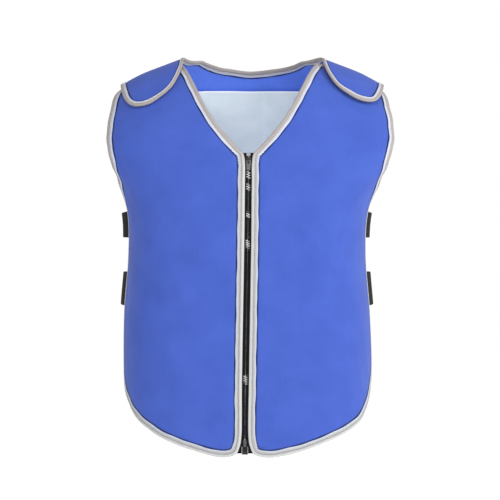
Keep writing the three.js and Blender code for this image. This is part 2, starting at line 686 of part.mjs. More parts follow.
// A group whose plane is the cloth's at a depth on the zip: x across, y up, z out of the cloth
function zipGroup(drop, height) {
  const at = { x: besideZip(0, drop), y: alongOf(drop, 1) };
  const { normal } = formFrame(at.x, at.y);
  const out = new THREE.Vector3(0, normal.y, normal.z).normalize();
  const right = new THREE.Vector3(1, 0, 0);
  const up = new THREE.Vector3().crossVectors(out, right);
  const group = new THREE.Group();
  group.quaternion.setFromRotationMatrix(new THREE.Matrix4().makeBasis(right, up, out));
  group.position.copy(clothPoint(at, ZIP_LAYER)).addScaledVector(out, height);
  vest.add(group);
  return group;
}

function addZip() {
  const bottom = VEST_LENGTH - ZIP_FOOT;
  const boxTop = bottom + BOX_LIP - BOX_HEIGHT;
  const stopTop = ZIP_TOP + GAP;
  const sliderTop = stopTop + STOP_HEIGHT + GAP;
  const teethTop = sliderTop + WEDGE_LENGTH + 2 * GAP;
  const teeth = zipStrip(-CHAIN_WIDTH / 2, CHAIN_WIDTH / 2, teethTop, boxTop - GAP, CHAIN_THICKNESS);
  addPiece('zip_chain', teeth, moulded);
  for (const [name, side] of [['right', -1], ['left', 1]]) {
    const near = side * (CHAIN_WIDTH / 2 + GAP);
    addPiece(`zip_tape_${name}`, zipStrip(near, side * ZIP_TAPE_REACH, ZIP_TOP, bottom, ZIP_TAPE), webbing);
    const [inner, outer] = [near - side * STOP_WIDTH - side * GAP, near - side * GAP];
    const [low, high] = [Math.min(inner, outer), Math.max(inner, outer)];
    const stop = block(low, high, -STOP_HEIGHT, 0, -CHAIN_THICKNESS / 2, CHAIN_THICKNESS / 2);
    addPiece(`zip_top_stop_${name}`, stop, moulded, zipGroup(stopTop, 0));
  }
  const core = block(-BOX_WIDTH / 2, BOX_WIDTH / 2, -BOX_HEIGHT, 0, -BOX_THICKNESS / 2, BOX_THICKNESS / 2);
  const face = block(-BOX_FACE / 2, BOX_FACE / 2, -BOX_HEIGHT, 0, ZIP_TAPE / 2 + GAP, BOX_THICKNESS / 2);
  addPiece('zip_box', fromSolid(toSolid(core).add(toSolid(face))), moulded, zipGroup(boxTop, 0));
  addSlider(sliderTop + SLIDER_LENGTH / 2);
}

// Slider: two plates joined by the wedge, side flanges over the teeth, and the bridge that carries the pull
function addSlider(drop) {
  const face = CHAIN_THICKNESS / 2 + GAP; // inner face of a plate above the middle of the teeth
  const shell = face + PLATE;
  const [top, foot] = [SLIDER_LENGTH / 2, -SLIDER_LENGTH / 2];
  const corner = SLIDER_LENGTH / 4;
  const outline = new THREE.Shape();
  outline.moveTo(-SLIDER_MOUTH / 2, foot);
  outline.lineTo(SLIDER_MOUTH / 2, foot);
  outline.lineTo(SLIDER_SHOULDER / 2, top - corner);
  outline.quadraticCurveTo(SLIDER_SHOULDER / 2, top, SLIDER_SHOULDER / 4, top);
  outline.lineTo(-SLIDER_SHOULDER / 4, top);
  outline.quadraticCurveTo(-SLIDER_SHOULDER / 2, top, -SLIDER_SHOULDER / 2, top - corner);
  outline.closePath();
  const [flangeInner, flangeOuter] = [CHAIN_WIDTH / 2 + GAP, SLIDER_MOUTH / 2];
  const flangeFoot = ZIP_TAPE / 2 + GAP;
  let body = toSolid(plate(outline, face, shell)).add(toSolid(plate(outline, -shell, -face)));
  body = body.add(toSolid(block(-WEDGE_WIDTH / 2, WEDGE_WIDTH / 2, top - WEDGE_LENGTH, top, -shell, shell)));
  for (const [x0, x1] of [[flangeInner, flangeOuter], [-flangeOuter, -flangeInner]]) {
    body = body.add(toSolid(block(x0, x1, foot, 0, flangeFoot, shell)));
    body = body.add(toSolid(block(x0, x1, foot, 0, -shell, -flangeFoot)));
  }
  // The bridge's eye leaves the pull's square bar room to turn
  const turning = Math.hypot(PULL_THICKNESS, PULL_THICKNESS) / 2;
  const axis = shell + turning + GAP;
  const eye = turning + GAP;
  const crown = axis + eye + BRIDGE_BAR;
  const arch = new THREE.Shape();
  arch.moveTo(-BRIDGE_FOOT, face);
  arch.quadraticCurveTo(-BRIDGE_FOOT, crown, 0, crown);
  arch.quadraticCurveTo(BRIDGE_FOOT, crown, BRIDGE_FOOT, face);
  arch.closePath();
  const hole = new THREE.Path();
  hole.moveTo(-eye, shell);
  hole.lineTo(eye, shell);
  hole.absarc(0, axis, eye, 0, Math.PI, false);
  hole.closePath();
  arch.holes.push(hole);
  // Drawn in the plane of y and z, then stood up across the plate
  const bridge = plate(arch, -BRIDGE_WIDTH / 2, BRIDGE_WIDTH / 2).rotateX(Math.PI / 2).rotateZ(Math.PI / 2);
  body = body.add(toSolid(bridge));
  addPiece('zip_slider', fromSolid(body), metal, zipGroup(drop, 0));

  // Pull: a tab on a bar through the eye, with a slot that clears the bridge at every angle
  const slotHalf = BRIDGE_WIDTH / 2 + GAP;
  const slotEnd = Math.hypot(BRIDGE_FOOT, axis - shell) + GAP;
  const bar = PULL_THICKNESS / 2;
  const tab = new THREE.Shape();
  tab.moveTo(PULL_WIDTH / 2, bar);
  tab.lineTo(-PULL_WIDTH / 2, bar);
  tab.absarc(0, PULL_TIP / 2 - PULL_LENGTH, PULL_TIP / 2, Math.PI, 2 * Math.PI, false);
  tab.closePath();
  const slot = new THREE.Path();
  slot.moveTo(-slotHalf, -bar);
  slot.lineTo(slotHalf, -bar);
  slot.lineTo(slotHalf, -slotEnd);
  slot.lineTo(-slotHalf, -slotEnd);
  slot.closePath();
  tab.holes.push(slot);
  addPiece('zip_pull', plate(tab, -bar, bar), metal, zipGroup(drop, axis));
}

addFront('right', -1);
addFront('left', 1);
addBack();
addLining();
addZip();
for (const [name, side] of [['right', -1], ['left', 1]]) {
  for (const [level, strap] of Object.entries(STRAPS)) {
    addPiece(`strap_${level}_${name}`, sideStrap(strap, side), webbing);
  }
}

export default vest;
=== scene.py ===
"""A cooling vest in worn form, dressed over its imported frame: cloth, bound edges, zip and straps."""

import logging
import math
from dataclasses import dataclass
from enum import Enum
from typing import Any, Callable, Iterable, Sequence

import bmesh
import bpy
import numpy as np
from mathutils import Matrix, Vector


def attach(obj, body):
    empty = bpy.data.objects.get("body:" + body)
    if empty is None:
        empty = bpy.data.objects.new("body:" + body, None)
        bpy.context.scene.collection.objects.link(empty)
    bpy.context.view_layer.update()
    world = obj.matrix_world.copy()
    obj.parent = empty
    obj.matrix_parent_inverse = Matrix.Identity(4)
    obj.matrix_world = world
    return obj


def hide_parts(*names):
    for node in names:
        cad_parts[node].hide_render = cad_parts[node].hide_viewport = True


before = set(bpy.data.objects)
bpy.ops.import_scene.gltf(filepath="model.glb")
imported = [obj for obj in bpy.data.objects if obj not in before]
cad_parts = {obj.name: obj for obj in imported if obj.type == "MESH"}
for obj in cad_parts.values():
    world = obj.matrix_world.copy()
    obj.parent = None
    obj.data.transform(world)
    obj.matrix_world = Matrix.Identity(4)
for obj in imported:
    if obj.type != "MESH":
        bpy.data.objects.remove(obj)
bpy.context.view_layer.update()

MM = 0.001
LOG = logging.getLogger("vest")


class Side(Enum):
    """Side of the wearer that a piece is on."""

    RIGHT = -1
    LEFT = 1

    @property
    def word(self) -> str:
        """The side's name as the nodes use it."""
        return self.name.lower()


def linear(colour: str) -> tuple[float, float, float, float]:
    """Turn an sRGB hex colour into linear values.

    Args:
        colour: Six hex digits after a hash.

    Returns:
        Linear red, green and blue, and an alpha of one.
    """
    parts = [int(colour[i : i + 2], 16) / 255 for i in (1, 3, 5)]
    red, green, blue = (p / 12.92 if p <= 0.04045 else ((p + 0.055) / 1.055) ** 2.4 for p in parts)
    return (red, green, blue, 1.0)


def add_node(tree: Any, kind: str, settings: dict[str, Any] | None = None, **links: Any) -> Any:
    """Add a node, set its values and link its inputs.

    Args:
        tree: Node tree that gets the node.
        kind: Blender's name for the kind of node.
        settings: Properties of the node, and values of inputs under their names or numbers.
        links: Sockets to link, by input name with spaces as underscores, or by in0, in1 and so on.

    Returns:
        The new node.
    """
    node = tree.nodes.new(kind)
    for name, value in (settings or {}).items():
        if isinstance(name, str) and hasattr(node, name):
            setattr(node, name, value)
        else:
            node.inputs[name].default_value = value
    for name, socket in links.items():
        key = int(name[2:]) if name[:2] == "in" and name[2:].isdigit() else name.replace("_", " ")
        tree.links.new(socket, node.inputs[key])
    return node


def new_material(name: str) -> tuple[Any, Any, Any]:
    """Start a material with its shader.

    Args:
        name: Name of the material.

    Returns:
        The material, its node tree and its Principled shader.
    """
    material = bpy.data.materials.new(name)
    material.use_nodes = True
    tree = material.node_tree
    tree.nodes.clear()
    shader = add_node(tree, "ShaderNodeBsdfPrincipled")
    add_node(tree, "ShaderNodeOutputMaterial", None, Surface=shader.outputs["BSDF"])
    return material, tree, shader


def wave_along(tree: Any, vector: Any, weights: tuple[float, float, float], period_mm: float) -> Any:
    """Make a sine of the distance in one direction.

    Args:
        tree: Node tree.
        vector: Socket with a place in millimetres.
        weights: Direction of the wave.
        period_mm: Distance from crest to crest.

    Returns:
        Socket with values from minus one to one.
    """
    turn = 2 * math.pi / period_mm
    scaled = tuple(w * turn for w in weights)
    dot = add_node(tree, "ShaderNodeVectorMath", {"operation": "DOT_PRODUCT", 1: scaled}, in0=vector)
    return add_node(tree, "ShaderNodeMath", {"operation": "SINE"}, in0=dot.outputs["Value"]).outputs[0]


def two_tone(tree: Any, factor: Any, dark: str, light: str, low: float, high: float) -> Any:
    """Blend two colours by a value.

    Args:
        tree: Node tree.
        factor: Socket that drives the blend.
        dark: Hex colour at the low value.
        light: Hex colour at the high value.
        low: Value that gives the dark colour.
        high: Value that gives the light colour.

    Returns:
        Colour socket.
    """
    ramp = add_node(tree, "ShaderNodeMapRange", {1: low, 2: high}, in0=factor)
    mix = add_node(tree, "ShaderNodeMix", {"data_type": "RGBA"}, in0=ramp.outputs["Result"])
    mix.inputs[6].default_value = linear(dark)
    mix.inputs[7].default_value = linear(light)
    return mix.outputs[2]


@dataclass(frozen=True)
class Twill:
    """Dyed cotton twill, woven on the diagonal, matt with a soft bloom at grazing angles."""

    name: str
    dark: str
    light: str
    painted_seam_shade: str
    rib_mm: float = 1.1  # real ribs lie 0.5 mm apart, drawn coarser so that they show
    sheen: float = 0.08
    roughness: float = 0.88

    def material(self) -> Any:
        """Build the material on the cloth's own map, which is in millimetres.

        Returns:
            The material.
        """
        material, tree, shader = new_material(self.name)
        place = add_node(tree, "ShaderNodeUVMap", {"uv_map": "cloth"}).outputs[0]
        cloudy = add_node(
            tree, "ShaderNodeTexNoise", {"Scale": 1 / 55.0, "Detail": 3.0, "Roughness": 0.55}, Vector=place
        ).outputs["Fac"]
        slub = add_node(
            tree, "ShaderNodeVectorMath", {"operation": "MULTIPLY", 1: (1.0, 0.12, 1.0)}, in0=place
        )
        streak = add_node(
            tree,
            "ShaderNodeTexNoise",
            {"Scale": 1 / 2.4, "Detail": 2.0, "Roughness": 0.55},
            Vector=slub.outputs[0],
        ).outputs["Fac"]
        both = add_node(
            tree, "ShaderNodeMath", {"operation": "MULTIPLY_ADD", 1: 0.35}, in0=streak, in2=cloudy
        )
        colour = two_tone(tree, both.outputs[0], self.dark, self.light, 0.45, 0.95)
        # darker beside the bindings, by the seam attribute: painted shade where the cloth is pressed in
        # under the tape's lip
        beside = add_node(tree, "ShaderNodeAttribute", {"attribute_name": "seam"}).outputs["Fac"]
        painted_seam_shade = add_node(tree, "ShaderNodeMix", {"data_type": "RGBA"}, in0=beside, in6=colour)
        painted_seam_shade.inputs[7].default_value = linear(self.painted_seam_shade)
        tree.links.new(painted_seam_shade.outputs[2], shader.inputs["Base Color"])
        rib = wave_along(tree, place, (0.8, 0.6, 0.0), self.rib_mm)
        yarn = wave_along(tree, place, (0.6, -0.8, 0.0), self.rib_mm * 0.8)
        weave = add_node(tree, "ShaderNodeMath", {"operation": "MULTIPLY_ADD", 1: 0.5}, in0=yarn, in2=rib)
        fuzz = add_node(
            tree, "ShaderNodeMath", {"operation": "MULTIPLY_ADD", 1: 1.6}, in0=streak, in2=weave.outputs[0]
        )
        bump = add_node(
            tree, "ShaderNodeBump", {"Strength": 0.35, "Distance": 0.12 * MM}, Height=fuzz.outputs[0]
        )
        tree.links.new(bump.outputs[0], shader.inputs["Normal"])
        shader.inputs["Roughness"].default_value = self.roughness
        shader.inputs["Sheen Weight"].default_value = self.sheen
        shader.inputs["Sheen Roughness"].default_value = 0.5
        shader.inputs["Specular IOR Level"].default_value = 0.25
        return material


@dataclass(frozen=True)
class SilverTape:
    """Silver-grey reflective binding: a beaded face that is warm, and darker with painted shade where it
    sinks at the seam.
    """

    name: str = "silver-grey reflective tape"
    # share of the way from the fold to the lip, and the colour there
    bands: tuple[tuple[float, str], ...] = (
        (0.0, "#B0B0AF"),
        (0.16, "#B8B8B8"),
        (0.36, "#A9A9A9"),
        # the darker band from 0.5 to 0.58 is painted shade in the sewn groove
        (0.5, "#7F7E7D"),
        (0.58, "#7F7E7D"),
        (0.7, "#A3A4A6"),
        (0.84, "#A9ABB0"),
        (1.0, "#AEB7CA"),
    )
    # the same on neck, armholes and flaps, where the tape rolls over: warm grey and darker towards the fold,
    # with painted shade in the groove
    rolled_bands: tuple[tuple[float, str], ...] = (
        (0.0, "#918A86"),
        (0.2, "#999290"),
        (0.42, "#968E8A"),
        (0.54, "#8D8784"),
        (0.64, "#A3A1A6"),
        (0.74, "#B3B6C4"),
        (0.88, "#B9BDCC"),
        (1.0, "#AFB6CB"),
    )
    width_mm: float = 10.5

    def material(self) -> Any:
        """Build the material on the tape's map: length along it, and distance across it from the fold.

        Returns:
            The material.
        """
        material, tree, shader = new_material(self.name)
        place = add_node(tree, "ShaderNodeUVMap", {"uv_map": "cloth"}).outputs[0]
        split = add_node(tree, "ShaderNodeSeparateXYZ", None, Vector=place)
        across = add_node(tree, "ShaderNodeMath", {"operation": "ABSOLUTE"}, in0=split.outputs[1])
        wear_and_glint = add_node(
            tree, "ShaderNodeTexNoise", {"Scale": 1 / 7.0, "Detail": 3.0, "Roughness": 0.55}, Vector=place
        ).outputs["Fac"]
        uneven = add_node(tree, "ShaderNodeMath", {"operation": "MULTIPLY_ADD", 1: 1.8, 2: -0.9}, in0=wear_and_glint)
        drawn = add_node(
            tree, "ShaderNodeMath", {"operation": "ADD"}, in0=across.outputs[0], in1=uneven.outputs[0]
        )
        share = add_node(
            tree, "ShaderNodeMath", {"operation": "DIVIDE", 1: self.width_mm}, in0=drawn.outputs[0]
        )
        ramps = []
        for table in (self.bands, self.rolled_bands):
            ramps.append(add_node(tree, "ShaderNodeValToRGB", None, in0=share.outputs[0]))
            bands = ramps[-1].color_ramp.elements
            while len(bands) < len(table):
                bands.new(0.5)
            for band, (place_on, colour) in zip(bands, table):
                band.position = place_on
                band.color = linear(colour)
        rolled = add_node(tree, "ShaderNodeAttribute", {"attribute_name": "rolled"}).outputs["Fac"]
        mix = add_node(
            tree,
            "ShaderNodeMix",
            {"data_type": "RGBA"},
            in0=rolled,
            in6=ramps[0].outputs[0],
            in7=ramps[1].outputs[0],
        )
        tree.links.new(mix.outputs[2], shader.inputs["Base Color"])
        # real ribs of the tape lie 0.35 mm apart, drawn at 0.8 mm so that they show
        rib = wave_along(tree, place, (1.0, 0.0, 0.0), 0.8)
        pucker = add_node(
            tree, "ShaderNodeTexNoise", {"Scale": 1 / 3.2, "Detail": 2.0, "Roughness": 0.55}, Vector=place
        ).outputs["Fac"]
        height = add_node(tree, "ShaderNodeMath", {"operation": "MULTIPLY_ADD", 1: 5.0}, in0=pucker, in2=rib)
        bump = add_node(
            tree, "ShaderNodeBump", {"Strength": 0.6, "Distance": 0.12 * MM}, Height=height.outputs[0]
        )
        tree.links.new(bump.outputs[0], shader.inputs["Normal"])
        shader.inputs["Roughness"].default_value = 0.55
        shader.inputs["Sheen Weight"].default_value = 0.08
        shader.inputs["Specular IOR Level"].default_value = 0.3
        return material


@dataclass(frozen=True)
class LiningWeave:
    """Pale plain-woven polyester lining with a whiter turned hem."""

    name: str = "pale plain-woven lining"
    dark: str = "#D8E5E2"
    light: str = "#E4EEEA"
    hem: str = "#F6FAFB"

    def material(self) -> Any:
        """Build the material, whitened by the hem attribute.

        Returns:
            The material.
        """
        material, tree, shader = new_material(self.name)
        place = add_node(tree, "ShaderNodeUVMap", {"uv_map": "cloth"}).outputs[0]
        cloudy = add_node(
            tree, "ShaderNodeTexNoise", {"Scale": 1 / 30.0, "Detail": 3.0, "Roughness": 0.55}, Vector=place
        ).outputs["Fac"]
        base = two_tone(tree, cloudy, self.dark, self.light, 0.3, 0.65)
        edge = add_node(tree, "ShaderNodeAttribute", {"attribute_name": "hem"})
        mix = add_node(tree, "ShaderNodeMix", {"data_type": "RGBA"}, in0=edge.outputs["Fac"])
        tree.links.new(base, mix.inputs[6])
        mix.inputs[7].default_value = linear(self.hem)
        tree.links.new(mix.outputs[2], shader.inputs["Base Color"])
        # threads 0.4 mm apart, drawn at 0.9 mm
        warp = wave_along(tree, place, (1.0, 0.0, 0.0), 0.9)
        weft = wave_along(tree, place, (0.0, 1.0, 0.0), 0.9)
        weave = add_node(tree, "ShaderNodeMath", {"operation": "MULTIPLY"}, in0=warp, in1=weft)
        bump = add_node(
            tree, "ShaderNodeBump", {"Strength": 0.3, "Distance": 0.08 * MM}, Height=weave.outputs[0]
        )
        tree.links.new(bump.outputs[0], shader.inputs["Normal"])
        shader.inputs["Roughness"].default_value = 0.7
        shader.inputs["Sheen Weight"].default_value = 0.1
        return material


@dataclass(frozen=True)
class RibbedWeb:
    """Black woven web or tape with ribs across its run."""

    name: str
    colour: str
    crest: str
    rib_mm: float
    relief_mm: float

    def material(self) -> Any:
        """Build the material on the piece's map: length along it, and distance across it.

        Returns:
            The material.
        """
        material, tree, shader = new_material(self.name)
        place = add_node(tree, "ShaderNodeUVMap", {"uv_map": "cloth"}).outputs[0]
        rib = wave_along(tree, place, (1.0, 0.0, 0.0), self.rib_mm)
        # yarns 0.7 mm apart across the web
        yarn = wave_along(tree, place, (0.0, 1.0, 0.0), 0.7)
        fluff = add_node(
            tree, "ShaderNodeTexNoise", {"Scale": 1 / 1.6, "Detail": 2.0, "Roughness": 0.55}, Vector=place
        ).outputs["Fac"]
        rough = add_node(tree, "ShaderNodeMath", {"operation": "MULTIPLY_ADD", 1: 0.25}, in0=yarn, in2=rib)
        height = add_node(tree, "ShaderNodeMath", {"operation": "ADD"}, in0=rough.outputs[0], in1=fluff)
        colour = two_tone(tree, height.outputs[0], self.colour, self.crest, -0.6, 1.6)
        tree.links.new(colour, shader.inputs["Base Color"])
        bump = add_node(
            tree,
            "ShaderNodeBump",
            {"Strength": 0.8, "Distance": self.relief_mm * MM},
            Height=height.outputs[0],
        )
        tree.links.new(bump.outputs[0], shader.inputs["Normal"])
        shader.inputs["Roughness"].default_value = 0.8
        shader.inputs["Sheen Weight"].default_value = 0.05
        shader.inputs["Specular IOR Level"].default_value = 0.2
        return material


@dataclass(frozen=True)
class MouldedHard:
    """A hard part, moulded or cast and then lacquered, with fine flow marks and some pale crests that are
    painted glints.
    """

    name: str
    colour: str
    pale_tone_and_glint: str
    metallic: float = 0.0
    roughness: float = 0.28
    specular: float = 0.5
    grain_mm: float = 0.6

    def material(self) -> Any:
        """Build the material on object coordinates.

        Returns:
            The material.
        """
        material, tree, shader = new_material(self.name)
        place = add_node(tree, "ShaderNodeTexCoord").outputs["Object"]
        in_mm = add_node(tree, "ShaderNodeVectorMath", {"operation": "SCALE", 3: 1000.0}, in0=place)
        marks = add_node(
            tree,
            "ShaderNodeTexNoise",
            {"Scale": 1 / self.grain_mm, "Detail": 3.0, "Roughness": 0.55},
            Vector=in_mm.outputs[0],
        ).outputs["Fac"]
        colour = two_tone(tree, marks, self.colour, self.pale_tone_and_glint, 0.35, 0.75)
        # pale crests from the attribute: painted glints
        wear_and_glint = add_node(tree, "ShaderNodeAttribute", {"attribute_name": "pale_tone_and_glint"}).outputs["Fac"]
        crest = add_node(tree, "ShaderNodeMix", {"data_type": "RGBA"}, in0=wear_and_glint, in6=colour)
        crest.inputs[7].default_value = linear("#F2F2F2")
        tree.links.new(crest.outputs[2], shader.inputs["Base Color"])
        gloss = add_node(
            tree,
            "ShaderNodeMapRange",
            {1: 0.3, 2: 0.7, 3: self.roughness * 0.8, 4: self.roughness * 1.3},
            in0=marks,
        )
        tree.links.new(gloss.outputs["Result"], shader.inputs["Roughness"])
        bump = add_node(tree, "ShaderNodeBump", {"Strength": 0.2, "Distance": 0.03 * MM}, Height=marks)
        tree.links.new(bump.outputs[0], shader.inputs["Normal"])
        shader.inputs["Metallic"].default_value = self.metallic
        shader.inputs["Specular IOR Level"].default_value = self.specular
        return material


@dataclass(frozen=True)
class Thread:
    """Twisted polyester sewing thread."""

    name: str
    colour: str
    shade: str

    def material(self) -> Any:
        """Build the material on object coordinates.

        Returns:
            The material.
        """
        material, tree, shader = new_material(self.name)
        place = add_node(tree, "ShaderNodeTexCoord").outputs["Object"]
        in_mm = add_node(tree, "ShaderNodeVectorMath", {"operation": "SCALE", 3: 1000.0}, in0=place)
        # plies twist once in 0.5 mm
        ply = wave_along(tree, in_mm.outputs[0], (0.6, 0.5, 0.6), 0.5)
        colour = two_tone(tree, ply, self.shade, self.colour, -1.0, 1.0)
        tree.links.new(colour, shader.inputs["Base Color"])
        shader.inputs["Roughness"].default_value = 0.6
        shader.inputs["Sheen Weight"].default_value = 0.2
        return material


class Finishes:
    """All finishes of the vest, made once."""

    def __init__(self) -> None:
        """Build every material."""
        # dyed cotton twill, pressed in beside the seams, with painted shade there: flat, soft blue with
        # faint cloudy fading
        self.cloth = Twill("royal blue cotton twill", "#354DA0", "#3D56AC", "#141E4C").material()
        # the same twill inside, lighter than real: it makes up for light missing behind the neck
        inner = Twill("royal blue cotton twill, inner side", "#5476DA", "#5D80E6", "#141E4C")
        self.inner_cloth = inner.material()
        # reflective binding: a pale rim with painted shade in its sewn groove, warm grey where it rolls over
        self.tape = SilverTape().material()
        # thin polyester: a cool near-white with a slightly whiter hem
        self.lining = LiningWeave().material()
        # woven tape: a matt black that frames the teeth
        self.zip_tape = RibbedWeb("black woven zip tape", "#030303", "#0A0A0B", 1.0, 0.1).material()
        # elastic web with a rib every 2.4 mm: soft black with fine cross lines
        self.strap = RibbedWeb("ribbed black elastic web", "#070605", "#191613", 2.4, 0.35).material()
        # moulded acetal: black, with a pale colour on chosen crests that stands for glints
        teeth = MouldedHard("black moulded acetal", "#030304", "#08080A", roughness=0.3, specular=0.2)
        self.teeth = teeth.material()
        # lacquered casting: a glossy black slider body
        self.slider = MouldedHard("black lacquered zinc", "#0C0C0D", "#1C1C1D", roughness=0.2).material()
        # moulded plastic: a dark grey block above the retainer box
        self.sleeve = MouldedHard("dark grey moulded sleeve", "#2E2F31", "#3C3D40", roughness=0.4).material()
        # satin casting: the mid-grey tab
        pull = MouldedHard("grey satin zinc", "#4A4B49", "#5C5D5A", metallic=0.3, roughness=0.42)
        self.pull = pull.material()
        # moulded plastic: two light dots at the top, light side bars at the bottom
        self.stop = MouldedHard("grey moulded stop", "#83858A", "#A4A6AA", roughness=0.35).material()
        # twisted polyester: a faint comb of pale ticks in the groove
        self.thread = Thread("silver-grey sewing thread", "#E4E6EC", "#B9B9BC").material()


@dataclass(frozen=True)
class FormRow:
    """Half width, depths and lean of the worn form at one depth, as shares."""

    drop: float
    half: float
    front: float
    back: float
    lean: float


@dataclass(frozen=True)
class WornForm:
    """The shape of the vest as worn, the same as in the frame, in millimetres."""

    length: float = 617.0
    chest_half: float = 196.0
    front_depth: float = 121.0
    back_depth: float = 126.0
    front_rise: float = 150.0
    back_rise: float = 170.0
    neck_half: float = 106.0
    neck_round: float = 40.0
    shoulder_slope: float = 0.39
    slope_reach: float = 230.0
    droop: float = 0.17
    droop_start: float = 172.0
    droop_round: float = 8.0
    squareness: float = 0.05
    side_turn: float = 90.0
    rows: tuple[FormRow, ...] = (
        FormRow(0.0, 1.276, 0.83, 0.89, 0.018),
        FormRow(0.097, 1.282, 0.86, 0.92, 0.018),
        FormRow(0.211, 1.248, 0.893, 0.968, 0.016),
        FormRow(0.3, 1.085, 0.926, 1.0, 0.004),
        FormRow(0.381, 0.973, 0.95, 1.0, -0.006),
        FormRow(0.502, 0.957, 0.983, 0.968, -0.012),
        FormRow(0.648, 0.99, 1.0, 0.952, -0.012),
        FormRow(0.81, 1.0, 0.992, 0.952, -0.004),
        FormRow(1.005, 0.98, 0.959, 0.952, 0.0),
    )

    @property
    def per_degree(self) -> float:
        """Cloth length across for each degree of turn."""
        return self.chest_half * math.radians(1)

    def column(self, name: str, drop: np.ndarray) -> np.ndarray:
        """Read a column of the table at depths.

        Args:
            name: Column.
            drop: Depths below the shoulder line.

        Returns:
            The column's values on a smooth curve through the rows.
        """
        at = np.array([row.drop for row in self.rows])
        value = np.array([getattr(row, name) for row in self.rows])
        low = np.maximum(np.arange(len(at)) - 1, 0)
        high = np.minimum(np.arange(len(at)) + 1, len(at) - 1)
        slope = (value[high] - value[low]) / (at[high] - at[low])
        share = np.clip(np.asarray(drop, float) / self.length, 0, at[-1])
        i = np.clip(np.searchsorted(at, share, side="right") - 1, 0, len(at) - 2)
        span = at[i + 1] - at[i]
        t = (share - at[i]) / span
        return (
            value[i] * (2 * t**3 - 3 * t**2 + 1)
            + value[i + 1] * (3 * t**2 - 2 * t**3)
            + slope[i] * span * (t**3 - 2 * t**2 + t)
            + slope[i + 1] * span * (t**3 - t**2)
        )

    def along_of(self, drop: float, facing: int) -> float:
        """Cloth length from the shoulder line to a depth, positive on the front.

        Args:
            drop: Depth below the shoulder line.
            facing: One for the front, minus one for the back.

        Returns:
            The signed cloth length.
        """
        rise = self.front_rise if facing > 0 else self.back_rise
        if drop >= rise:
            return facing * (rise * math.pi / 2 + drop - rise)
        return facing * rise * math.acos(1 - drop / rise)

    def drop_of(self, along: np.ndarray) -> np.ndarray:
        """Depth below the shoulder line at cloth lengths along.

        Args:
            along: Cloth lengths from the shoulder line.

        Returns:
            Depths.
        """
        rise = np.where(along > 0, self.front_rise, self.back_rise)
        length = np.abs(along)
        quarter = rise * math.pi / 2
        rounded = rise * (1 - np.cos(np.minimum(length, quarter) / rise))
        return np.where(length >= quarter, rise + length - quarter, rounded)

    def point(self, across: np.ndarray, along: np.ndarray) -> np.ndarray:
        """Points of the form.

        Args:
            across: Cloth lengths from the middle.
            along: Cloth lengths from the shoulder line.

        Returns:
            Points with a last axis of three.
        """
        front = along > 0
        rise = np.where(front, self.front_rise, self.back_rise)
        drop = self.drop_of(along)
        turn = np.radians(across / self.per_degree)
        half = self.chest_half * self.column("half", drop)
        depth = np.where(
            front, self.front_depth * self.column("front", drop), self.back_depth * self.column("back", drop)
        )
        swell = np.sin(np.minimum(np.abs(along) / rise, math.pi / 2))
        outward = (np.sin(turn) + self.squareness * np.sin(3 * turn)) / (1 - self.squareness)
        forward = (np.cos(turn) - self.squareness * np.cos(3 * turn)) / (1 - self.squareness)
        x = half * outward
        fade = smooth(drop / self.slope_reach)
        beyond = np.abs(x) - self.droop_start
        level = self.shoulder_slope * (
            math.hypot(self.neck_half, self.neck_round) - np.hypot(x, self.neck_round)
        ) - self.droop * (np.hypot(beyond, self.droop_round) + beyond) / 2
        facing = np.where(front, 1.0, -1.0)
        return np.stack(
            [
                x + self.chest_half * self.column("lean", drop),
                -facing * depth * swell * forward,
                level * (1 - fade) - drop,
            ],
            axis=-1,
        )

    def frame(self, across: np.ndarray, along: np.ndarray) -> tuple[np.ndarray, ...]:
        """Points, outward normals and the two cloth directions.

        Args:
            across: Cloth lengths from the middle.
            along: Cloth lengths from the shoulder line.

        Returns:
            Points, normals, directions across and directions along.
        """
        step = 0.5
        way_across = (self.point(across + step, along) - self.point(across - step, along)) / (2 * step)
        way_along = (self.point(across, along + step) - self.point(across, along - step)) / (2 * step)
        normal = np.cross(way_along, way_across)
        normal /= np.linalg.norm(normal, axis=-1, keepdims=True)
        return self.point(across, along), normal, way_across, way_along


def smooth(share: np.ndarray | float) -> np.ndarray:
    """Ease a share from nought to one."""
    t = np.clip(share, 0.0, 1.0)
    return t * t * (3 - 2 * t)


def curve_round(rows: np.ndarray, steps: Sequence[int], fineness: int) -> np.ndarray:
    """Stations on a closed centripetal curve through rows.

    Args:
        rows: Places across and along.
        steps: Stations from each row to the next in the frame's outline.
        fineness: How many times as many are made here.

    Returns:
        Stations, one row each.
    """
    count = len(rows)
    stations = []
    for i in range(count):
        p0, p1, p2, p3 = (rows[(i + k) % count] for k in (-1, 0, 1, 2))
        d0, d1, d2 = (max(np.linalg.norm(b - a) ** 0.5, 1e-4) for a, b in ((p0, p1), (p1, p2), (p2, p3)))
        t1 = ((p1 - p0) / d0 - (p2 - p0) / (d0 + d1) + (p2 - p1) / d1) * d1
        t2 = ((p2 - p1) / d1 - (p3 - p1) / (d1 + d2) + (p3 - p2) / d2) * d1
        total = steps[i] * fineness
        for k in range(total):
            t = k / total
            stations.append(
                p1 + t1 * t + (-3 * p1 + 3 * p2 - 2 * t1 - t2) * t**2 + (2 * p1 - 2 * p2 + t1 + t2) * t**3
            )
    return np.array(stations)


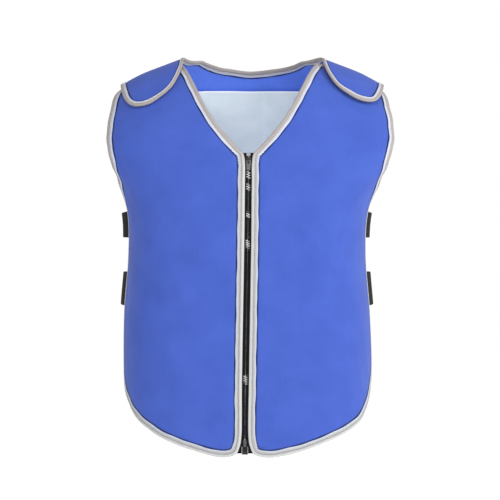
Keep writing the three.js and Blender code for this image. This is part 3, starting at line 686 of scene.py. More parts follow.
def inset(form: WornForm, stations: np.ndarray, width: float | np.ndarray) -> np.ndarray:
    """Move an outline inwards by a width of cloth.

    Args:
        form: The worn form.
        stations: The outline.
        width: Distance inwards, the same or one for each station.

    Returns:
        The moved stations.
    """
    after = np.roll(stations, -1, axis=0)
    before = np.roll(stations, 1, axis=0)
    turning = np.sum(stations[:, 0] * after[:, 1] - after[:, 0] * stations[:, 1])
    _, normal, way_across, way_along = form.frame(stations[:, 0], stations[:, 1])
    tangent = form.point(after[:, 0], after[:, 1]) - form.point(before[:, 0], before[:, 1])
    inward = np.cross(normal, tangent)
    inward *= (-1 if turning > 0 else 1) / np.linalg.norm(inward, axis=1, keepdims=True)
    inward *= np.broadcast_to(width, len(stations))[:, None]
    aa = np.sum(way_across * way_across, axis=1)
    al = np.sum(way_across * way_along, axis=1)
    ll = np.sum(way_along * way_along, axis=1)
    wa = np.sum(inward * way_across, axis=1)
    wl = np.sum(inward * way_along, axis=1)
    area = aa * ll - al * al
    return stations + np.stack([(wa * ll - wl * al) / area, (wl * aa - wa * al) / area], axis=1)


def side_of(loop: np.ndarray, first: int, last: int) -> np.ndarray:
    """Stations of a loop from one to another, both counted in."""
    return loop[np.arange(first, last + 1) % len(loop)]


def fill_grid(top: np.ndarray, bottom: np.ndarray, inner: np.ndarray, outer: np.ndarray) -> np.ndarray:
    """Fill four sides that share their corners with a grid.

    Args:
        top: Stations from the inner corner to the outer.
        bottom: The same at the bottom.
        inner: Stations from top to bottom.
        outer: The same on the outer side.

    Returns:
        Grid of places, across first and then down.
    """
    s = np.linspace(0, 1, len(top))[:, None, None]
    t = np.linspace(0, 1, len(inner))[None, :, None]
    sides = top[:, None] * (1 - t) + bottom[:, None] * t + inner[None] * (1 - s) + outer[None] * s
    corners = (1 - s) * (1 - t) * top[0] + s * (1 - t) * top[-1]
    corners = corners + (1 - s) * t * bottom[0] + s * t * bottom[-1]
    return sides - corners


def loop_grid(loop: np.ndarray, across: int, down: int) -> np.ndarray:
    """Fill a loop that has across, down, across and down steps.

    Args:
        loop: Stations round the loop.
        across: Steps across.
        down: Steps down.

    Returns:
        Grid of places.
    """
    top = side_of(loop, 0, across)
    outer = side_of(loop, across, across + down)
    bottom = side_of(loop, across + down, 2 * across + down)[::-1]
    inner = side_of(loop, 2 * across + down, 2 * (across + down))[::-1]
    return fill_grid(top, bottom, inner, outer)


def mesh_of(made: Any, name: str) -> Any:
    """Turn a bmesh into a mesh, and free it.

    Args:
        made: The bmesh.
        name: Name of the mesh.

    Returns:
        The mesh.
    """
    mesh = bpy.data.meshes.new(name)
    made.to_mesh(mesh)
    made.free()
    return mesh


def mapped_grid(points: np.ndarray, places: np.ndarray, marks: dict[str, np.ndarray] | None = None) -> Any:
    """Shape a grid: each of its points goes to its own place.

    Args:
        points: Points in millimetres, with two grid axes and a last axis of three.
        places: Places on the cloth's own map, in millimetres.
        marks: Values of attributes at the points, by name.

    Returns:
        A mesh.
    """
    wide, high = points.shape[:2]
    made = bmesh.new()
    bmesh.ops.create_grid(made, x_segments=wide - 1, y_segments=high - 1, size=1.0)
    mesh = mesh_of(made, "grid")
    at = np.empty(len(mesh.vertices) * 3)
    mesh.vertices.foreach_get("co", at)
    column = np.rint((at[0::3] + 1) / 2 * (wide - 1)).astype(int)
    row = np.rint((at[1::3] + 1) / 2 * (high - 1)).astype(int)
    mesh.vertices.foreach_set("co", (points[column, row] * MM).ravel())
    corners = np.empty(len(mesh.loops), int)
    mesh.loops.foreach_get("vertex_index", corners)
    for layer in list(mesh.uv_layers):
        mesh.uv_layers.remove(layer)
    layer = mesh.uv_layers.new(name="cloth")
    layer.data.foreach_set("uv", places[column, row][corners].ravel())
    for name, values in (marks or {}).items():
        attribute = mesh.attributes.new(name, "FLOAT", "POINT")
        attribute.data.foreach_set("value", values[column, row].ravel())
    return mesh


def finish_piece(
    name: str,
    parts: Iterable[Any],
    material: Any,
    replaced: Sequence[str],
    body: str = "vest",
    weld: bool = True,
) -> Any:
    """Join meshes to one piece, weld them and put the piece on its body.

    Args:
        name: Name of the piece.
        parts: Meshes in metres, in the row's frame.
        material: Finish.
        replaced: Nodes that the piece stands for.
        body: Body that it rides on.
        weld: Whether doubles are merged.

    Returns:
        The new object.
    """
    made = bmesh.new()
    for part in parts:
        made.from_mesh(part)
        bpy.data.meshes.remove(part)
    if weld:
        bmesh.ops.remove_doubles(made, verts=made.verts, dist=0.01 * MM)
        bmesh.ops.recalc_face_normals(made, faces=made.faces)
    for face in made.faces:
        face.smooth = True
    mesh = mesh_of(made, name)
    mesh.materials.append(material)
    piece = bpy.data.objects.new(name, mesh)
    bpy.context.scene.collection.objects.link(piece)
    if replaced:
        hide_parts(*replaced)
    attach(piece, body)
    LOG.info("%s: %d faces", name, len(mesh.polygons))
    return piece


def close_ends(piece: Any) -> None:
    """Close the open ends of a swept piece.

    Args:
        piece: The swept piece.
    """
    made = bmesh.new()
    made.from_mesh(piece.data)
    bmesh.ops.holes_fill(made, edges=[e for e in made.edges if e.is_boundary], sides=0)
    bmesh.ops.recalc_face_normals(made, faces=made.faces)
    made.to_mesh(piece.data)
    made.free()


def soft_waves(places: np.ndarray, size_mm: float, seed: int) -> np.ndarray:
    """Gentle random undulation of cloth.

    Args:
        places: Places on the cloth.
        size_mm: Typical distance between two crests.
        seed: Seed of the directions.

    Returns:
        Heights from about minus one to one.
    """
    chance = np.random.default_rng(seed)
    total = np.zeros(places.shape[:-1])
    for _ in range(9):
        heading = chance.uniform(0, 2 * math.pi)
        period = size_mm * chance.uniform(0.6, 1.7)
        phase = chance.uniform(0, 2 * math.pi)
        run = places[..., 0] * math.cos(heading) + places[..., 1] * math.sin(heading)
        total += np.sin(run * 2 * math.pi / period + phase)
    return total / 4.5


@dataclass(frozen=True)
class Fold:
    """A soft valley in the cloth, at a place with a direction and a size, in millimetres and degrees."""

    across: float
    drop: float
    facing: int
    heading: float
    long: float
    wide: float
    deep: float


@dataclass(frozen=True)
class Cloth:
    """Layers and undulation that all cloth pieces share, in millimetres."""

    form: WornForm
    thickness: float = 2.2
    gap: float = 0.3
    tape: float = 0.6
    crown: float = 0.5
    binding_width: float = 10.5
    lift_right: float = 6.4
    lift_left: float = 8.4
    flap_ramp: float = 34.0
    swell: float = 0.9
    # undulation: the long and the short waves, and how much of the short ones
    long_wave: float = 120.0
    short_wave: float = 42.0
    short_share: float = 0.35
    # it fades out towards the zip and the sides, in degrees, and towards the shoulder line
    calm_zip: float = 2.5
    calm_zip_fade: float = 9.0
    calm_side: float = 86.0
    calm_side_fade: float = 12.0
    calm_top: float = 70.0
    calm_top_fade: float = 60.0
    # within some degrees of the zip, and beyond it, the depth from which a binding lies flat
    zip_degrees: float = 8.0
    flat_by_zip: float = 148.0
    flat_by_side: float = 330.0
    flat_fade: float = 26.0
    # waves of a binding's lip: height as a share, period, phase
    lip_waves: tuple[tuple[float, float, float], ...] = ((0.035, 37.0, 0.0), (0.03, 83.0, 1.0))
    # where a binding is crumpled: notches in its lip, and small folds across it
    notch_depth: float = 0.12
    notch_waves: tuple[tuple[float, float, float], ...] = ((1.0, 4.6, 0.0),)
    crumple_height: float = 0.32
    crumple_waves: tuple[tuple[float, float, float], ...] = ((1.0, 6.1, 0.0), (0.7, 3.9, 2.0))
    folds: tuple[Fold, ...] = (
        Fold(-232, 165, 1, 96, 60, 12, 1.6),
        Fold(-214, 235, 1, 78, 70, 14, 1.2),
        Fold(236, 172, 1, 84, 60, 12, 1.5),
        Fold(-52, 9, -1, 20, 18, 7, 0.7),
        Fold(-70, 12, -1, 150, 16, 6, 0.8),
        Fold(-36, 22, -1, 12, 26, 9, 0.6),
    )
    # where the bindings are crumpled
    puckers: tuple[Fold, ...] = (
        Fold(-12, 156, 1, 0, 22, 16, 1.0),
        Fold(12, 152, 1, 0, 18, 14, 0.7),
        Fold(-16, 606, 1, 0, 16, 26, 1.0),
        Fold(14, 603, 1, 0, 16, 20, 0.9),
        Fold(-58, 8, -1, 0, 40, 26, 0.5),
        Fold(150, 30, 1, 0, 22, 26, 0.5),
        Fold(-128, 34, 1, 0, 26, 36, 0.6),
    )

    @property
    def bound_edge(self) -> float:
        """From a panel's edge to the outside of its binding."""
        return self.gap + self.tape + self.crown

    @property
    def outside(self) -> float:
        """Layer of a binding's outer face."""
        return self.thickness / 2 + self.gap + self.tape

    def back_layer(self, places: np.ndarray) -> np.ndarray:
        """Lift of the back as it comes over the shoulder line into the flaps."""
        lift = np.where(places[..., 0] > 0, self.lift_left, self.lift_right)
        return lift * smooth(1 + places[..., 1] / self.flap_ramp)

    def front_layer(self, places: np.ndarray) -> np.ndarray:
        """The fronts lie on the form."""
        return np.zeros(places.shape[:-1])

    def relief(self, places: np.ndarray) -> np.ndarray:
        """Height of undulation and folds, none at the zip and at the sides.

        Args:
            places: Places on the cloth.

        Returns:
            Heights.
        """
        turn = np.abs(places[..., 0]) / self.form.per_degree
        by_zip = smooth((turn - self.calm_zip) / self.calm_zip_fade)
        by_side = smooth((self.calm_side - turn) / self.calm_side_fade)
        calm = np.where(places[..., 1] > 0, by_zip * by_side, by_side)
        top = smooth((np.abs(places[..., 1]) - self.calm_top) / self.calm_top_fade)
        short = self.short_share * soft_waves(places, self.short_wave, 8)
        height = self.swell * calm * top * (soft_waves(places, self.long_wave, 5) + short)
        for fold in self.folds:
            along = self.form.along_of(fold.drop, fold.facing)
            dx, dy = places[..., 0] - fold.across, places[..., 1] - along
            c, s = math.cos(math.radians(fold.heading)), math.sin(math.radians(fold.heading))
            run, off = dx * c + dy * s, -dx * s + dy * c
            height -= fold.deep * np.exp(-((run / fold.long) ** 2) - (off / fold.wide) ** 2)
        return height

    def pucker(self, places: np.ndarray) -> np.ndarray:
        """How much a binding is crumpled at places: at the corners of the V, of the hem and of the neck.

        Args:
            places: Places on the cloth.

        Returns:
            Shares from nought to one.
        """
        total = np.zeros(places.shape[:-1])
        for spot in self.puckers:
            along = self.form.along_of(spot.drop, spot.facing)
            dx, dy = places[..., 0] - spot.across, places[..., 1] - along
            total += spot.deep * np.exp(-((dx / spot.wide) ** 2 + (dy / spot.long) ** 2))
        return np.minimum(total, 1.0)

    def surface(self, places: np.ndarray, layer: np.ndarray) -> tuple[np.ndarray, np.ndarray]:
        """Points of a layer of cloth.

        Args:
            places: Places on the cloth.
            layer: Height above the form.

        Returns:
            Points and normals.
        """
        point, normal, _, _ = self.form.frame(places[..., 0], places[..., 1])
        return point + normal * (layer + self.relief(places))[..., None], normal


def waves_round(run: np.ndarray, total: float, waves: Sequence[tuple[float, float, float]]) -> np.ndarray:
    """Waves that meet themselves again round a closed line.

    Args:
        run: Distance along the line at each station.
        total: Length of the line.
        waves: Height, period and phase of each wave.

    Returns:
        The sum of the waves at each station.
    """
    return sum(
        size * np.sin(run * 2 * math.pi * round(total / period) / total + phase)
        for size, period, phase in waves
    )


def swept_tape(
    cloth: Cloth, edge: np.ndarray, lip: np.ndarray, layer_at: Callable[[np.ndarray], np.ndarray]
) -> Any:
    """Fold a binding tape round an edge.

    Args:
        cloth: Layers of the cloth.
        edge: Stations of the panel's edge.
        lip: Stations under the tape's lips.
        layer_at: Layer of the panel at places.

    Returns:
        A closed mesh.
    """
    base = cloth.thickness / 2
    # share of the way from edge to lip, height, distance out past the edge
    front = (
        (1.0, base + 0.08, 0.0),
        (1.015, base + 0.45, 0.0),
        (0.985, base + 0.85, 0.0),
        (0.92, base + 1.0, 0.0),
        (0.8, base + 1.05, 0.0),
        (0.66, base + 0.95, 0.0),
        (0.575, base + 0.68, 0.0),
        (0.53, base + 0.55, 0.0),
        (0.485, base + 0.68, 0.0),
        (0.4, base + 0.98, 0.0),
        (0.25, base + 1.1, 0.0),
        (0.08, base + 1.02, 0.0),
        (0.0, base + 0.86, 0.35),
        (0.0, base + 0.45, 0.95),
    )
    profile = [*front, (0.0, 0.0, cloth.bound_edge)]
    profile += [(share, -height, out) for share, height, out in reversed(front)]
    profile += [(0.5, -base - 0.08, 0.0), (0.0, -base * 0.6, 0.15)]
    profile += [(0.0, base * 0.6, 0.15), (0.5, base + 0.08, 0.0)]
    edge_point, _ = cloth.surface(edge, layer_at(edge))
    lip_point, _ = cloth.surface(lip, layer_at(lip))
    away = edge_point - lip_point
    away /= np.linalg.norm(away, axis=1, keepdims=True)
    run = np.concatenate([[0], np.cumsum(np.linalg.norm(np.diff(edge_point, axis=0), axis=1))])
    total = run[-1] + np.linalg.norm(edge_point[0] - edge_point[-1])
    run = np.append(run, total)
    wobble = waves_round(run[:-1], total, cloth.lip_waves)
    rings, marks = [], []
    crumple = cloth.pucker(lip)
    notch = cloth.notch_depth * crumple * waves_round(run[:-1], total, cloth.notch_waves)
    fold = crumple * waves_round(run[:-1], total, cloth.crumple_waves)
    for share, height, out in profile:
        reach = share * (1 + (wobble + notch) * share)
        place = edge + (lip - edge) * reach[:, None]
        point, normal = cloth.surface(place, layer_at(place))
        outer = math.copysign(1.0, height or 1.0)
        lift = cloth.crumple_height * fold * math.sin(math.pi * min(share + 0.2, 1.0)) * outer
        lift *= abs(height) > base + 0.2
        ring = point + normal * (height + lift)[:, None] + away * out
        rings.append(np.concatenate([ring, ring[:1]]))
        distance = (cloth.bound_edge - out) + share * (cloth.binding_width - cloth.bound_edge)
        marks.append(np.stack([run, np.full(len(run), math.copysign(distance, height or 1.0))], axis=1))
    rings.append(rings[0])
    marks.append(marks[0])
    drop = cloth.form.drop_of(edge[:, 1])
    # the tape lies flat on the zip side and the hem, and rolls over everywhere else
    by_zip = np.abs(edge[:, 0]) < cloth.zip_degrees * cloth.form.per_degree
    flat_from = np.where(by_zip, cloth.flat_by_zip, cloth.flat_by_side)
    rolled = 1 - smooth((drop - flat_from) / cloth.flat_fade)
    rolled = np.append(rolled, rolled[0])[:, None] * np.ones(len(rings))
    places = np.array(marks).transpose(1, 0, 2)
    return mapped_grid(np.array(rings).transpose(1, 0, 2), places, {"rolled": rolled})


def short_thread() -> Any:
    """Make one stitch of unit size: a small round body that is longest along Y.

    Returns:
        A mesh.
    """
    made = bmesh.new()
    bmesh.ops.create_uvsphere(made, u_segments=6, v_segments=4, radius=1.0)
    bmesh.ops.rotate(made, verts=made.verts, cent=(0, 0, 0), matrix=Matrix.Rotation(math.pi / 2, 3, "X"))
    return mesh_of(made, "thread")


def scattered(source: Any, places: Sequence[Matrix], pale_tone_and_glint: np.ndarray | None = None) -> Any:
    """Repeat a shape at many places, in one mesh.

    Args:
        source: Mesh of one shape.
        places: Place of each copy, in millimetres.
        pale_tone_and_glint: How pale the crest of each copy is drawn.

    Returns:
        A mesh in metres.
    """
    count = len(places)
    moves = np.array([np.array(place) for place in places])
    at = np.empty(len(source.vertices) * 3)
    source.vertices.foreach_get("co", at)
    at = np.concatenate([at.reshape(-1, 3), np.ones((len(source.vertices), 1))], axis=1)
    points = np.einsum("nij,vj->nvi", moves, at)[..., :3] * MM
    corner = np.empty(len(source.loops), int)
    source.loops.foreach_get("vertex_index", corner)
    starts = np.empty(len(source.polygons), int)
    source.polygons.foreach_get("loop_start", starts)
    mesh = bpy.data.meshes.new("scattered")
    mesh.vertices.add(count * len(source.vertices))
    mesh.vertices.foreach_set("co", points.ravel())
    mesh.loops.add(count * len(corner))
    shift = np.arange(count)[:, None]
    mesh.loops.foreach_set("vertex_index", (corner[None] + shift * len(source.vertices)).ravel())
    mesh.polygons.add(count * len(starts))
    mesh.polygons.foreach_set("loop_start", (starts[None] + shift * len(corner)).ravel())
    mesh.update(calc_edges=True)
    # pale crests of the copies: painted glints
    if pale_tone_and_glint is not None:
        crest = (at[:, 2] > at[:, 2].max() - 0.3).astype(float)
        attribute = mesh.attributes.new("pale_tone_and_glint", "FLOAT", "POINT")
        attribute.data.foreach_set("value", (pale_tone_and_glint[:, None] * crest[None]).ravel())
    return mesh


def stitch_row(
    cloth: Cloth,
    line: np.ndarray,
    layer: np.ndarray,
    height: float,
    pitch: float,
    long: float,
    radius: float,
) -> Any:
    """Sew a row of stitches along a closed line.

    Args:
        cloth: Layers of the cloth.
        line: Places of the line.
        layer: Layer at each place.
        height: Height of the thread above or below the layer.
        pitch: Distance from stitch to stitch.
        long: Length of the thread that shows.
        radius: Thickness of the thread, as a radius.

    Returns:
        A mesh of short threads.
    """
    point, normal = cloth.surface(line, layer)
    point = point + normal * height
    point, normal = np.concatenate([point, point[:1]]), np.concatenate([normal, normal[:1]])
    run = np.concatenate([[0], np.cumsum(np.linalg.norm(np.diff(point, axis=0), axis=1))])
    count = max(int(run[-1] / pitch), 1)
    source = short_thread()
    places = []
    for k in range(count):
        start = k * run[-1] / count
        ends = [
            np.array([np.interp(at, run, point[:, i]) for i in range(3)]) for at in (start, start + long)
        ]
        up = Vector([np.interp(start, run, normal[:, i]) for i in range(3)])
        way = Vector(ends[1] - ends[0])
        if way.length < 0.2:
            continue
        right = up.cross(way).normalized()
        turn = Matrix((right, way.normalized(), right.cross(way.normalized()))).transposed().to_4x4()
        grow = Matrix.Diagonal((radius, way.length / 2 * 1.08, radius, 1.0))
        places.append(Matrix.Translation(Vector((ends[0] + ends[1]) / 2)) @ turn @ grow)
    mesh = scattered(source, places)
    bpy.data.meshes.remove(source)
    return mesh


@dataclass(frozen=True, kw_only=True)
class BoundPanel:
    """A cloth panel with its binding tape and the stitches that hold the tape."""

    cloth: Cloth
    finishes: Finishes
    fineness: int = 4
    tape_fineness: int = 8
    # where the stitches sink into the tape, as a share of the way from its fold to its lip
    groove: float = 0.53
    stitch_height: float = 0.8
    stitch_pitch: float = 2.6
    stitch_long: float = 1.5
    stitch_radius: float = 0.36
    # the cloth beside the tape: distance in from the bound edge, how deep it is pressed, how dark its
    # painted shade is
    beside_tape: tuple[tuple[float, float, float], ...] = (
        (1.4, 0.0, 0.0),
        (9.4, 0.0, 0.8),
        (10.6, 0.5, 1.0),
        (11.9, 0.6, 1.0),
        (12.8, 0.25, 0.35),
        (13.7, 0.0, 0.0),
    )

    @property
    def panel_name(self) -> str:
        """Node of the cloth."""
        raise NotImplementedError

    @property
    def tape_name(self) -> str:
        """Node of the binding."""
        raise NotImplementedError

    def outline(self, fineness: int) -> np.ndarray:
        """Stations round the bound edge."""
        raise NotImplementedError

    def grids(self, edge: np.ndarray) -> list[np.ndarray]:
        """Grids that fill the panel's edge."""
        raise NotImplementedError

    def layer(self, places: np.ndarray) -> np.ndarray:
        """Layer of the panel at places."""
        raise NotImplementedError

    def tape_width(self, outline: np.ndarray) -> np.ndarray:
        """Width of the tape that shows at each station."""
        return np.full(len(outline), self.cloth.binding_width)

    def build(self) -> tuple[Any, Any]:
        """Make the panel, its tape and its stitches.

        Returns:
            The panel and the tape.
        """
        cloth = self.cloth
        outline = self.outline(self.fineness)
        shift = self.tape_width(outline) - cloth.binding_width
        widths = [width + (shift if width > 2 else 0) for width, _, _ in self.beside_tape]
        rings = np.array([inset(cloth.form, outline, width) for width in widths])
        rings = np.concatenate([rings, rings[:, :1]], axis=1)
        dip = np.array([row[1] for row in self.beside_tape])[:, None] * np.ones(rings.shape[1])
        shade = np.array([row[2] for row in self.beside_tape])[:, None] * np.ones(rings.shape[1])
        point, _ = cloth.surface(rings, self.layer(rings) - dip)
        parts = [mapped_grid(point, rings, {"seam": shade})]
        for grid in self.grids(rings[-1, :-1]):
            point, _ = cloth.surface(grid, self.layer(grid))
            parts.append(mapped_grid(point, grid, {"seam": np.zeros(grid.shape[:2])}))
        panel = finish_piece(self.panel_name + "_cloth", parts, self.finishes.cloth, [self.panel_name])
        wall = panel.modifiers.new("wall", "SOLIDIFY")
        wall.thickness = cloth.thickness * MM
        wall.offset = 0.0
        panel.data.materials.append(self.finishes.inner_cloth)
        wall.material_offset = 1
        fine = self.outline(self.tape_fineness)
        fine_edge = inset(cloth.form, fine, cloth.bound_edge)
        lip = inset(cloth.form, fine, self.tape_width(fine))
        tape = finish_piece(
            self.tape_name + "_tape",
            [swept_tape(cloth, fine_edge, lip, self.layer)],
            self.finishes.tape,
            [self.tape_name],
        )
        groove = fine_edge + (lip - fine_edge) * self.groove
        level = self.layer(groove)
        height = cloth.thickness / 2 + self.stitch_height
        rows = [
            stitch_row(
                cloth, groove, level, sign * height, self.stitch_pitch, self.stitch_long, self.stitch_radius
            )
            for sign in (1, -1)
        ]
        stitches = finish_piece(
            self.tape_name + "_stitches", rows, self.finishes.thread, [], weld=False
        )
        self.declare(panel, [tape, stitches])
        return panel, tape

    def declare(self, panel: Any, with_pieces: list[Any]) -> None:
        raise NotImplementedError


@dataclass(frozen=True, kw_only=True)
class FrontPanel(BoundPanel):
    """One front: its neck corner lies under the flap, its straight edge carries the zip."""

    zip_line: "ZipLine"
    side: Side
    # degrees out from the zip edge, share of the length below the shoulder line, steps to the next row,
    # and, on some rows, how much lower the row hangs on the wearer's left, as a share of the length
    rows: tuple[tuple[float, ...], ...] = (
        (21.2, 0.006, 1),
        (25.5, 0.0028, 4),
        (36.0, 0.0022, 4),
        (46.0, 0.0028, 1),
        (50.2, 0.005, 1),
        (53.0, 0.016, 1),
        (54.4, 0.05, 2),
        (56.0, 0.09, 2),
        (57.0, 0.143, 2),
        (56.7, 0.187, 1),
        (59.0, 0.23, 2),
        (66.3, 0.269, 1),
        (73.0, 0.306, 1),
        (80.0, 0.339, 1),
        (86.2, 0.376, 2),
        (87.0, 0.486, 3),
        (87.0, 0.62, 2),
        (87.0, 0.73, 1),
        (85.8, 0.775, 1),
        (82.0, 0.812, 1, -0.004),
        (75.0, 0.8476, 1, -0.004),
        (67.0, 0.8757, 1, 0.002),
        (57.8, 0.903, 1, 0.009),
        (46.0, 0.93, 2, 0.0075),
        (34.0, 0.957, 2, 0.003),
        (18.1, 0.985, 2, 0.0035),
        (8.6, 0.998, 1, 0.001),
        (4.6, 0.9965, 1),
        (2.0, 0.989, 1),
        (0.5, 0.968, 1),
        (0.0, 0.945, 2),
        (0.0, 0.82, 2),
        (0.0, 0.62, 2),
        (0.0, 0.44, 2),
        (0.0, 0.32, 1),
        (0.0, 0.276, 1),
        (0.6, 0.2555, 1),
        (2.5, 0.2418, 2),
        (7.25, 0.199, 2),
        (11.1, 0.152, 2),
        (14.5, 0.0955, 2),
        (18.6, 0.028, 1),
        (19.8, 0.0135, 1),
    )

    @property
    def panel_name(self) -> str:
        """Node of the cloth."""
        return f"front_panel_{self.side.word}"

    @property
    def tape_name(self) -> str:
        """Node of the binding."""
        return f"binding_front_{self.side.word}"

    def outline(self, fineness: int) -> np.ndarray:
        """Stations round the bound edge.

        Args:
            fineness: How many times as many stations are made as in the frame.

        Returns:
            Stations round the outline.
        """
        form = self.cloth.form
        rows = []
        for turn, share, _, *sag in self.rows:
            drop = (share + (sag[0] if sag and self.side is Side.LEFT else 0)) * form.length
            zip_edge = self.zip_line.across(self.side.value * self.zip_line.opening / 2, drop)
            across = self.side.value * turn * form.per_degree + zip_edge * (1 - turn / form.side_turn)
            rows.append((across, form.along_of(drop, 1)))
        return curve_round(np.array(rows), [int(row[2]) for row in self.rows], fineness)

    def grids(self, edge: np.ndarray) -> list[np.ndarray]:
        """The one grid from the shoulder to the hem."""
        return [loop_grid(edge, 10 * self.fineness, 24 * self.fineness)]

    def layer(self, places: np.ndarray) -> np.ndarray:
        """The front lies on the form."""
        return self.cloth.front_layer(places)

    def declare(self, panel: Any, with_pieces: list[Any]) -> None:
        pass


@dataclass(frozen=True)
class Flap:
    """Reach of a shoulder flap in front, how far out it sits, and how much lower its neck corner lies."""

    reach: float
    shift: float
    neck: float


@dataclass(frozen=True, kw_only=True)
class BackPanel(BoundPanel):
    """The back with both shoulder flaps in one."""

    flap_right: Flap = Flap(60, 0, 0.0008)
    flap_left: Flap = Flap(50, 1.6, -0.004)
    flap_fade: float = 0.25
    # share of the tape's width that is lost: on the flaps, more towards the neck, less at their tips
    narrow: float = 0.3
    narrow_neck: float = 0.2
    narrow_tip: float = 0.15
    # and where neck and flap meet: share, place in degrees and along, reach in degrees and along
    narrow_corner: float = 0.34
    corner_at: tuple[float, float] = (16.0, -14.0)
    corner_reach: tuple[float, float] = (5.0, 30.0)
    armhole_row: int = 14
    neck_steps: int = 4
    flap_side_steps: int = 5
    flap_end_steps: int = 6
    down_steps: int = 21
    # degrees out from the middle, share of the length down the back, share of the flap's reach, steps
    rows: tuple[tuple[float, float | None, float | None, int], ...] = (
        (0.0, 0.0543, None, 1),
        (7.3, 0.0395, None, 1),
        (12.0, 0.0218, None, 1),
        (15.2, 0.0068, None, 1),
        (19.6, 0.0, None, 2),
        (20.9, None, 0.27, 1),
        (22.4, None, 0.53, 2),
        (24.8, None, 0.76, 1),
        (28.6, None, 0.91, 2),
        (33.2, None, 1.0, 2),
        (37.6, None, 0.95, 1),
        (41.4, None, 0.78, 1),
        (44.6, None, 0.5, 2),
        (47.0, None, 0.2, 2),
        (48.6, 0.0, None, 3),
        (50.4, 0.06, None, 3),
        (51.4, 0.18, None, 3),
        (57.0, 0.28, None, 2),
        (67.0, 0.35, None, 2),
        (70.0, 0.43, None, 3),
        (70.0, 0.6, None, 3),
        (70.0, 0.77, None, 1),
        (67.5, 0.846, None, 1),
        (60.5, 0.894, None, 2),
        (45.0, 0.934, None, 3),
        (28.0, 0.97, None, 3),
        (12.0, 0.99, None, 2),
        (0.0, 0.993, None, 0),
    )

    @property
    def panel_name(self) -> str:
        """Node of the cloth."""
        return "back_panel"

    @property
    def tape_name(self) -> str:
        """Node of the binding."""
        return "binding_back"

    def place(self, row: tuple[float, float | None, float | None, int], side: Side) -> tuple[float, float]:
        """Place of a row on one side.

        Args:
            row: Row of the table.
            side: Side of the wearer.

        Returns:
            Cloth lengths across and along.
        """
        form = self.cloth.form
        turn, drop, over, _ = row
        neck_turn = next(r[0] for r in self.rows if r[1] == 0.0)
        flap = self.flap_left if side is Side.LEFT else self.flap_right
        outwards = min(turn / neck_turn, 1)
        fade = outwards * (1 - float(smooth((drop or 0) / self.flap_fade)))
        across = side.value * (turn + flap.shift * fade) * form.per_degree
        if over is not None:
            return across, form.along_of(over * flap.reach, 1)
        fall = 0 if turn > neck_turn else flap.neck * outwards**4
        return across, form.along_of(max(drop + fall, 0) * form.length, -1)

    def outline(self, fineness: int) -> np.ndarray:
        """Stations round the bound edge, from the right armhole corner."""
        return whole_outline(self.rows, self.armhole_row, self.place, fineness)

    def grids(self, edge: np.ndarray) -> list[np.ndarray]:
        """Two flaps that end at a seam across their foot, and the rest of the back.

        Args:
            edge: Stations of the inner edge.

        Returns:
            The three grids.
        """
        fine = self.fineness
        side, end = self.flap_side_steps * fine, self.flap_end_steps * fine
        flap = 2 * side + end
        top = 2 * (flap + self.neck_steps * fine)
        hem = 2 * (end + self.neck_steps * fine)
        down = self.down_steps * fine
        share = np.linspace(0, 1, end + 1)[:, None]
        seam_right = edge[0] * (1 - share) + edge[flap] * share
        seam_left = edge[top - flap] * (1 - share) + edge[top] * share
        right = fill_grid(
            side_of(edge, side, side + end),
            seam_right,
            side_of(edge, 0, side)[::-1],
            side_of(edge, side + end, flap),
        )
        left = fill_grid(
            side_of(edge, top - side - end, top - side),
            seam_left,
            side_of(edge, top - flap, top - side - end)[::-1],
            side_of(edge, top - side, top),
        )
        hung = fill_grid(
            np.concatenate([seam_right, side_of(edge, flap + 1, top - flap - 1), seam_left]),
            side_of(edge, top + down, top + down + hem)[::-1],
            side_of(edge, top + down + hem, len(edge))[::-1],
            side_of(edge, top, top + down),
        )
        return [right, left, hung]

    def tape_width(self, outline: np.ndarray) -> np.ndarray:
        """The tape narrows round the flaps, most towards the neck.

        Args:
            outline: Stations round the bound edge.

        Returns:
            Width at each station.
        """
        turn = np.abs(outline[:, 0]) / self.cloth.form.per_degree
        over = smooth((outline[:, 1] + 25) / 45)
        inner = smooth((34 - turn) / 10)
        outer = smooth((turn - 41) / 5)
        narrow = self.narrow + self.narrow_neck * inner - self.narrow_tip * outer
        away = (turn - self.corner_at[0]) / self.corner_reach[0]
        down = (outline[:, 1] - self.corner_at[1]) / self.corner_reach[1]
        corner = np.exp(-(away**2) - down**2)
        return self.cloth.binding_width * (1 - np.maximum(narrow * over, self.narrow_corner * corner))

    def layer(self, places: np.ndarray) -> np.ndarray:
        """The back rises into the flaps."""
        return self.cloth.back_layer(places)

    def declare(self, panel: Any, with_pieces: list[Any]) -> None:
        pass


def whole_outline(
    rows: Sequence[tuple[Any, ...]],
    first: int,
    place: Callable[[Any, Side], tuple[float, float]],
    fineness: int,
) -> np.ndarray:
    """Stations round a whole piece from the rows of its left half.

    Args:
        rows: Rows of the half, with the steps last.
        first: Row of the right half where the loop starts.
        place: Gives the place of a row on a side.
        fineness: How many times as many stations are made as in the frame.

    Returns:
        Stations round the outline.
    """
    left = [(place(row, Side.LEFT), row[-1]) for row in rows]
    upwards = [(place(row, Side.RIGHT), row[-1]) for row in rows][::-1]
    right = [(at, upwards[i + 1][1] if i + 1 < len(upwards) else 0) for i, (at, _) in enumerate(upwards)]
    left[-1] = (left[-1][0], right[0][1])
    loop = [*left, *right[1:-1]]
    start = len(loop) - first
    loop = [*loop[start:], *loop[:start]]
    return curve_round(np.array([at for at, _ in loop]), [steps for _, steps in loop], fineness)


